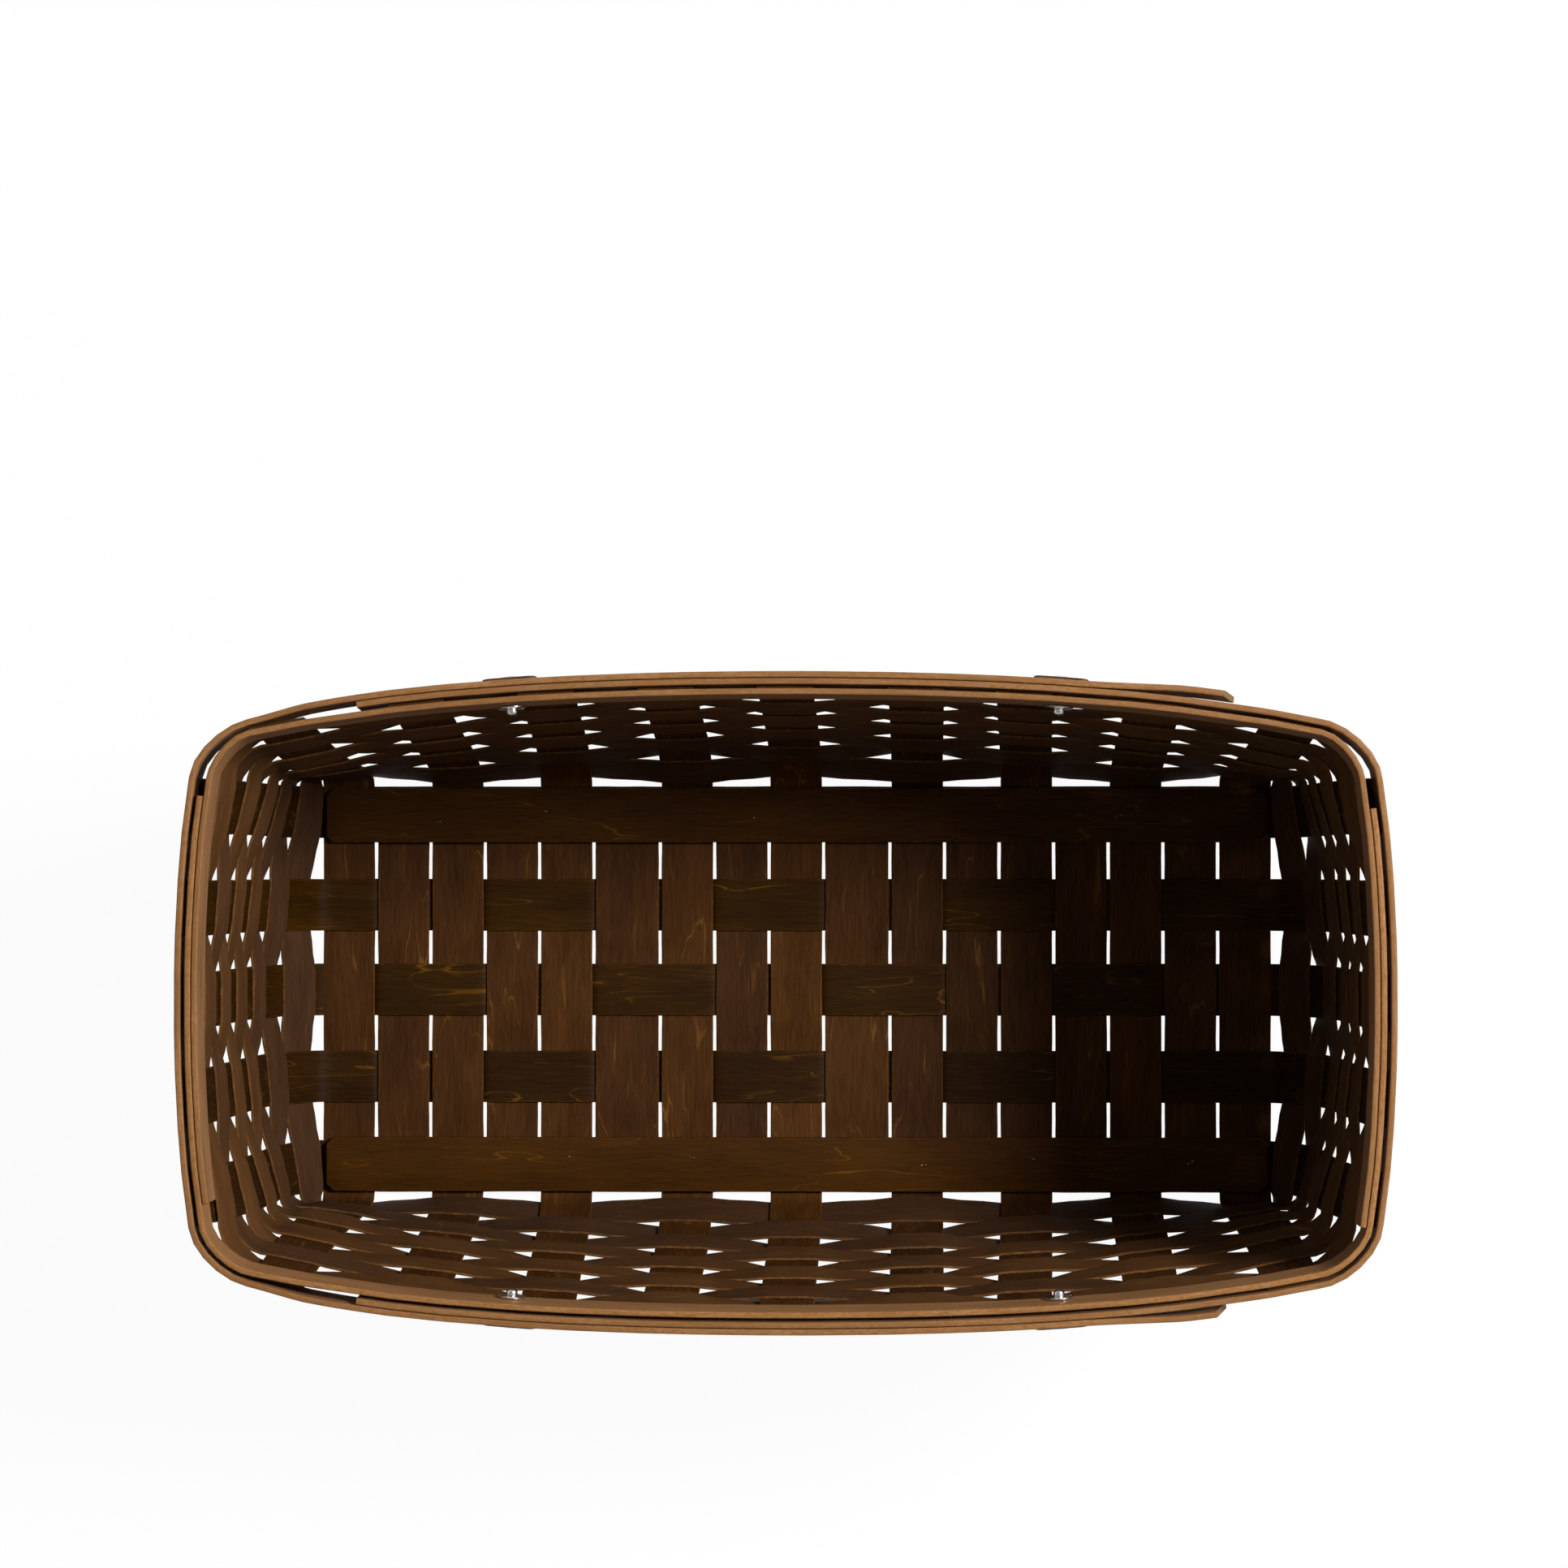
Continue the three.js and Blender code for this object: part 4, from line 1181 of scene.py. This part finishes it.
def copies_tree():
    tree, given = new_tree("copies_on_points", COPY_INPUTS)
    turn = add_node(tree, "GeometryNodeInputNamedAttribute", {"Name": "turn"}, data_type="FLOAT_VECTOR")
    rotation = add_node(tree, "FunctionNodeEulerToRotation", {"Euler": turn.outputs["Attribute"]})
    least = product(tree, given["Spin"], -1.0)
    chance = add_node(tree, "FunctionNodeRandomValue", {
        2: least, 3: given["Spin"], "Seed": given["Seed"]}, data_type="FLOAT")
    spin = add_node(tree, "ShaderNodeCombineXYZ", {"Z": chance.outputs[1]})
    spun = add_node(tree, "FunctionNodeRotateRotation", {
        "Rotation": rotation, "Rotate By": add_node(tree, "FunctionNodeEulerToRotation", {"Euler": spin})},
        rotation_space="LOCAL")
    copies = add_node(tree, "GeometryNodeInstanceOnPoints", {
        "Points": given["Geometry"], "Instance": shape_given(tree, given["Shape"]), "Rotation": spun,
        "Scale": given["Size"]})
    real = add_node(tree, "GeometryNodeRealizeInstances", {"Geometry": copies})
    covered = add_node(tree, "GeometryNodeSetMaterial", {"Geometry": real, "Material": given["Metal"]})
    add_node(tree, "NodeGroupOutput", {"Geometry": covered})
    return tree


COPIES_TREE = copies_tree()


def copies(name, shape, places, material, spin, seed):
    """One piece made of copies of a shape at the places, which are matrices. The shape itself goes."""
    points, turns = [place.translation for place in places], [place.to_euler() for place in places]
    piece = apply_tree(points_with(f"{name}_places", points, [], {"turn": turns}), COPIES_TREE, name, {
        "Shape": shape, "Size": 1.0, "Spin": spin, "Seed": seed, "Metal": material})
    bpy.data.objects.remove(shape)
    return piece


SHARP_ANGLE = math.radians(40)


def shape_of(name, points, faces):
    mesh = mesh_of(name, solid(points, faces))
    mesh.set_sharp_from_angle(angle=SHARP_ANGLE)
    return put_in_scene(name, mesh)


TURNED_SIDES = 36


def turned(name, profile, is_ring):
    """A shape turned round Z from a profile of (radius, height), closed on the axis or as a ring."""
    points, rings = [], []
    for radius, height in profile:
        sides = TURNED_SIDES if radius else 1
        first = len(points)
        angles = [math.tau * side / TURNED_SIDES for side in range(sides)]
        points += [(radius * math.cos(angle), radius * math.sin(angle), height) for angle in angles]
        rings.append([first + side % sides for side in range(TURNED_SIDES)])
    return shape_of(name, points, bands(rings + rings[:1] if is_ring else rings))


def rivet_place(index):
    """A rivet stands in the rim beside a stake. Its X goes round the wall, its Y up and its Z out."""
    end = int(math.copysign(1, STAKES[index][3]))
    spots = []
    for level in RIM_LEVELS:
        edge, _ = stake_at(index, level, end)
        facing_edge, _ = stake_at(index + end, level, -end)
        along = (facing_edge - edge).normalized() * end
        spots.append((edge + along * (end * RIVET_FROM_STAKE), along))
    (low, _), (high, along) = spots
    out = along.cross(high - low).normalized()
    rise = out.cross(along)
    turn = Matrix((along, rise, out)).transposed().to_4x4()
    return Matrix.Translation(high - rise * (RIVET_DROP / rise.z)) @ turn


SIDE_NAMES = {FRONT: "front", BACK: "back"}
RIVET_PLACES = {
    side: [rivet_place(index_of(side, number)) for number in HANDLE_STAKES] for side in SIDE_NAMES}
ALL_RIVET_PLACES = sum(RIVET_PLACES.values(), [])
CORNERS = [f"{side}_{end}" for side in SIDE_NAMES.values() for end in ("left", "right")]


def turned_metal(name, node, profile, is_ring, seed):
    """One piece of four turned shapes, one at each rivet, that replaces the nodes of the same kind."""
    scaled_profile = [(radius * MM, height * MM) for radius, height in profile]
    shape = turned(f"{node}_shape", scaled_profile, is_ring)
    piece = copies(name, shape, ALL_RIVET_PLACES, STEEL, spin=math.pi, seed=seed)
    finish(piece, "basket", "metal", *[f"{node}_{corner}" for corner in CORNERS])


turned_metal("rivets", "rivet", RIVET_PROFILE, is_ring=False, seed=3)
turned_metal("washers", "washer", WASHER_PROFILE, is_ring=True, seed=5)


def staple_shape():
    """A flat wire with its two legs bent down into the wood."""
    half, bend, wire = STAPLE_WIDTH / 2, STAPLE_BEND, STAPLE_WIRE / 2
    bends = [(math.sin(turn), math.cos(turn)) for turn in spread(0, math.pi / 2, STAPLE_BEND_STEP)]
    right = [(half - bend + bend * side, bend * rise - bend, side, rise) for side, rise in bends]
    right.append((half, -STAPLE_LEG, 1, 0))
    outline = [(-x, z, -side, rise) for x, z, side, rise in reversed(right)] + right
    points = []
    for x, z, side, rise in outline:
        for outwards, y in ((wire, wire), (wire, -wire), (-wire, -wire), (-wire, wire)):
            points.append((x + side * outwards, y, z + rise * outwards))
    rings = rings_of(4, len(outline))
    return shape_of("staple_shape", points, [*bands(rings), rings[0], rings[-1]])


batten_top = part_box("base_batten_back")[1].z
staple_places = [Matrix.Translation((x * MM, y * MM, batten_top - STAPLE_SINK)) for x, y in STAPLE_SPOTS]
staples = copies("batten_staples", staple_shape(), staple_places, WIRE, STAPLE_SPIN, seed=7)
finish(staples, "basket", "metal")


# Handles. Each is one strap of leather, riveted at both ends, that hangs down outside a long wall.

TAB_CORNER_STEPS = 6
TAB_STEP = 2.5 * MM
STRAP_TONE = 0.5
# How many times a strap's middle line and its turn out of the wall are rounded off
LINE_EASING = 6
TURN_EASING = 10

corner_runs = [(step / TAB_CORNER_STEPS) ** 2 * TAB_CORNER for step in range(TAB_CORNER_STEPS + 1)]
TAB_RUNS = corner_runs + spread(TAB_CORNER, TAB_LENGTH, TAB_STEP)[1:]


def tab_breadth(run):
    """The share of the strap's width that is left near its rounded end."""
    missing = max(0.0, TAB_CORNER - run)
    side = TAB_CORNER - math.sqrt(TAB_CORNER ** 2 - missing ** 2)
    return 1 - 2 * side / STRAP_WIDTH


def tab(place):
    """The leather round a rivet, from its end down, as (centre, direction out, share of the width)."""
    out = place.col[2].xyz
    return [(place @ Vector((0, TAB_TOP - run, LEATHER_MIDDLE)), out, tab_breadth(run)) for run in TAB_RUNS]


def strap(tabs, outward):
    """The leather that hangs between two tabs, in the same form. It soon turns to face straight out."""
    (start, start_out, _), (end, end_out, _) = [ends[-1] for ends in tabs]
    gap = Vector((0, 0, STRAP_GAP))
    down = Vector((0, 0, -HANDLE_DROP / CURVE_DEPTH_SHARE)) - gap
    turns = [Vector((out.x, out.y, 0)).normalized() for out in (start_out, end_out)]
    found = []
    for share in spread(0, 1, 1 / STRAP_STEPS)[1:-1]:
        point, _ = bezier([start - gap, start + down, end + down, end - gap], share)
        depth_share = ((start - gap).z - point.z) / HANDLE_DROP
        turn = turns[0 if share < 0.5 else 1]
        found.append((point, turn.lerp(outward, 1 - (1 - depth_share) ** 2).normalized(), 1.0))
    return found


def handle(side, outward, seed):
    """A strap from one rivet down and up to the other, bent just under them where the joint turns it."""
    side_name = SIDE_NAMES[side]
    body = f"{side_name}_handle"
    parts = [tab(place) for place in RIVET_PLACES[side]]
    spots = [*parts[0], *strap(parts, outward), *reversed(parts[1])]
    centres = eased([centre for centre, _, _ in spots], LINE_EASING)
    outs = eased([out for _, out, _ in spots], TURN_EASING)
    acrosses = [out.cross(heading(centres, index)).normalized() for index, out in enumerate(outs)]
    stations = along_path(centres, acrosses, [breadth for _, _, breadth in spots])
    name = f"{body}_leather"
    piece = strip(name, stations, STRAP_SECTION, LEATHER, LEATHER, seed, STRAP_TONE, STRAP_WAVE)
    tabs = [f"handle_tab_{side_name}_{end}" for end in ("left", "right")]
    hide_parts(*tabs, f"handle_strap_{side_name}")
    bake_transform(piece)


handle(FRONT, outward=Vector((0, -1, 0)), seed=2.0)
handle(BACK, outward=Vector((0, 1, 0)), seed=5.0)


# Floor, backdrop and light

PAINT_GREY = 0.86
PAINT_ROUGHNESS = 0.9
PAINT_GLOW_SHARE = 0.95
FLOOR_REACH = 8.0
BACKDROP_HEIGHT = 4.0
BACKDROP_SIDES = 96
SKY_STRENGTH = 0.3
KEY_PLACE = (2.0, 0.78, 2.6)
KEY_AIM = (0, 0, 0.1)
KEY_SIZE = 0.9
KEY_WATTS = 140


def white_paint():
    """Pale paint that the camera, gloss and glass see as white, and that keeps most of its shadows."""
    material, tree, shader = new_material("white_paint")
    feed(tree, shader, {
        "Base Color": colour(PAINT_GREY, PAINT_GREY, PAINT_GREY), "Roughness": PAINT_ROUGHNESS,
        "Specular IOR Level": 0.0})
    rays = add_node(tree, "ShaderNodeLightPath").outputs
    mirrored = maths(tree, "MAXIMUM", rays["Is Glossy Ray"], rays["Is Transmission Ray"])
    seen = maths(tree, "MAXIMUM", rays["Is Camera Ray"], mirrored)
    glow = add_node(tree, "ShaderNodeEmission", {"Color": colour(1, 1, 1), "Strength": 1.0})
    glow_share = product(tree, seen, PAINT_GLOW_SHARE)
    blend = add_node(tree, "ShaderNodeMixShader", {0: glow_share, 1: shader, 2: glow})
    feed(tree, tree.nodes["Material Output"], {"Surface": blend})
    return material


def studio():
    """A round floor with a low wall round it, as one surface."""
    angles = [math.tau * step / BACKDROP_SIDES for step in range(BACKDROP_SIDES)]
    ring = [(FLOOR_REACH * math.cos(angle), FLOOR_REACH * math.sin(angle)) for angle in angles]
    points = [(x, y, 0) for x, y in ring] + [(x, y, BACKDROP_HEIGHT) for x, y in ring]
    floor, top = rings_of(BACKDROP_SIDES, 2)
    mesh = bpy.data.meshes.new("studio")
    mesh.from_pydata(points, [], [floor, *bands([top, floor])])
    mesh.materials.append(white_paint())
    put_in_scene("studio", mesh)


def light():
    world = bpy.data.worlds.new("sky")
    bpy.context.scene.world = world
    world.use_nodes = True
    background = world.node_tree.nodes["Background"]
    background.inputs["Color"].default_value = colour(1, 1, 1)
    background.inputs["Strength"].default_value = SKY_STRENGTH
    lamp = bpy.data.lights.new("key", "AREA")
    lamp.shape = "DISK"
    lamp.size = KEY_SIZE
    lamp.energy = KEY_WATTS
    holder = put_in_scene("key", lamp)
    holder.location = KEY_PLACE
    holder.rotation_euler = (Vector(KEY_AIM) - Vector(KEY_PLACE)).to_track_quat("-Z", "Y").to_euler()


studio()
light()

bpy.context.scene.view_settings.view_transform = "Standard"

for holder in (STAKE_SECTION, LONG_STAKE_SECTION, WEAVER_SECTION, RIM_SECTION, STRAP_SECTION):
    bpy.data.objects.remove(holder)
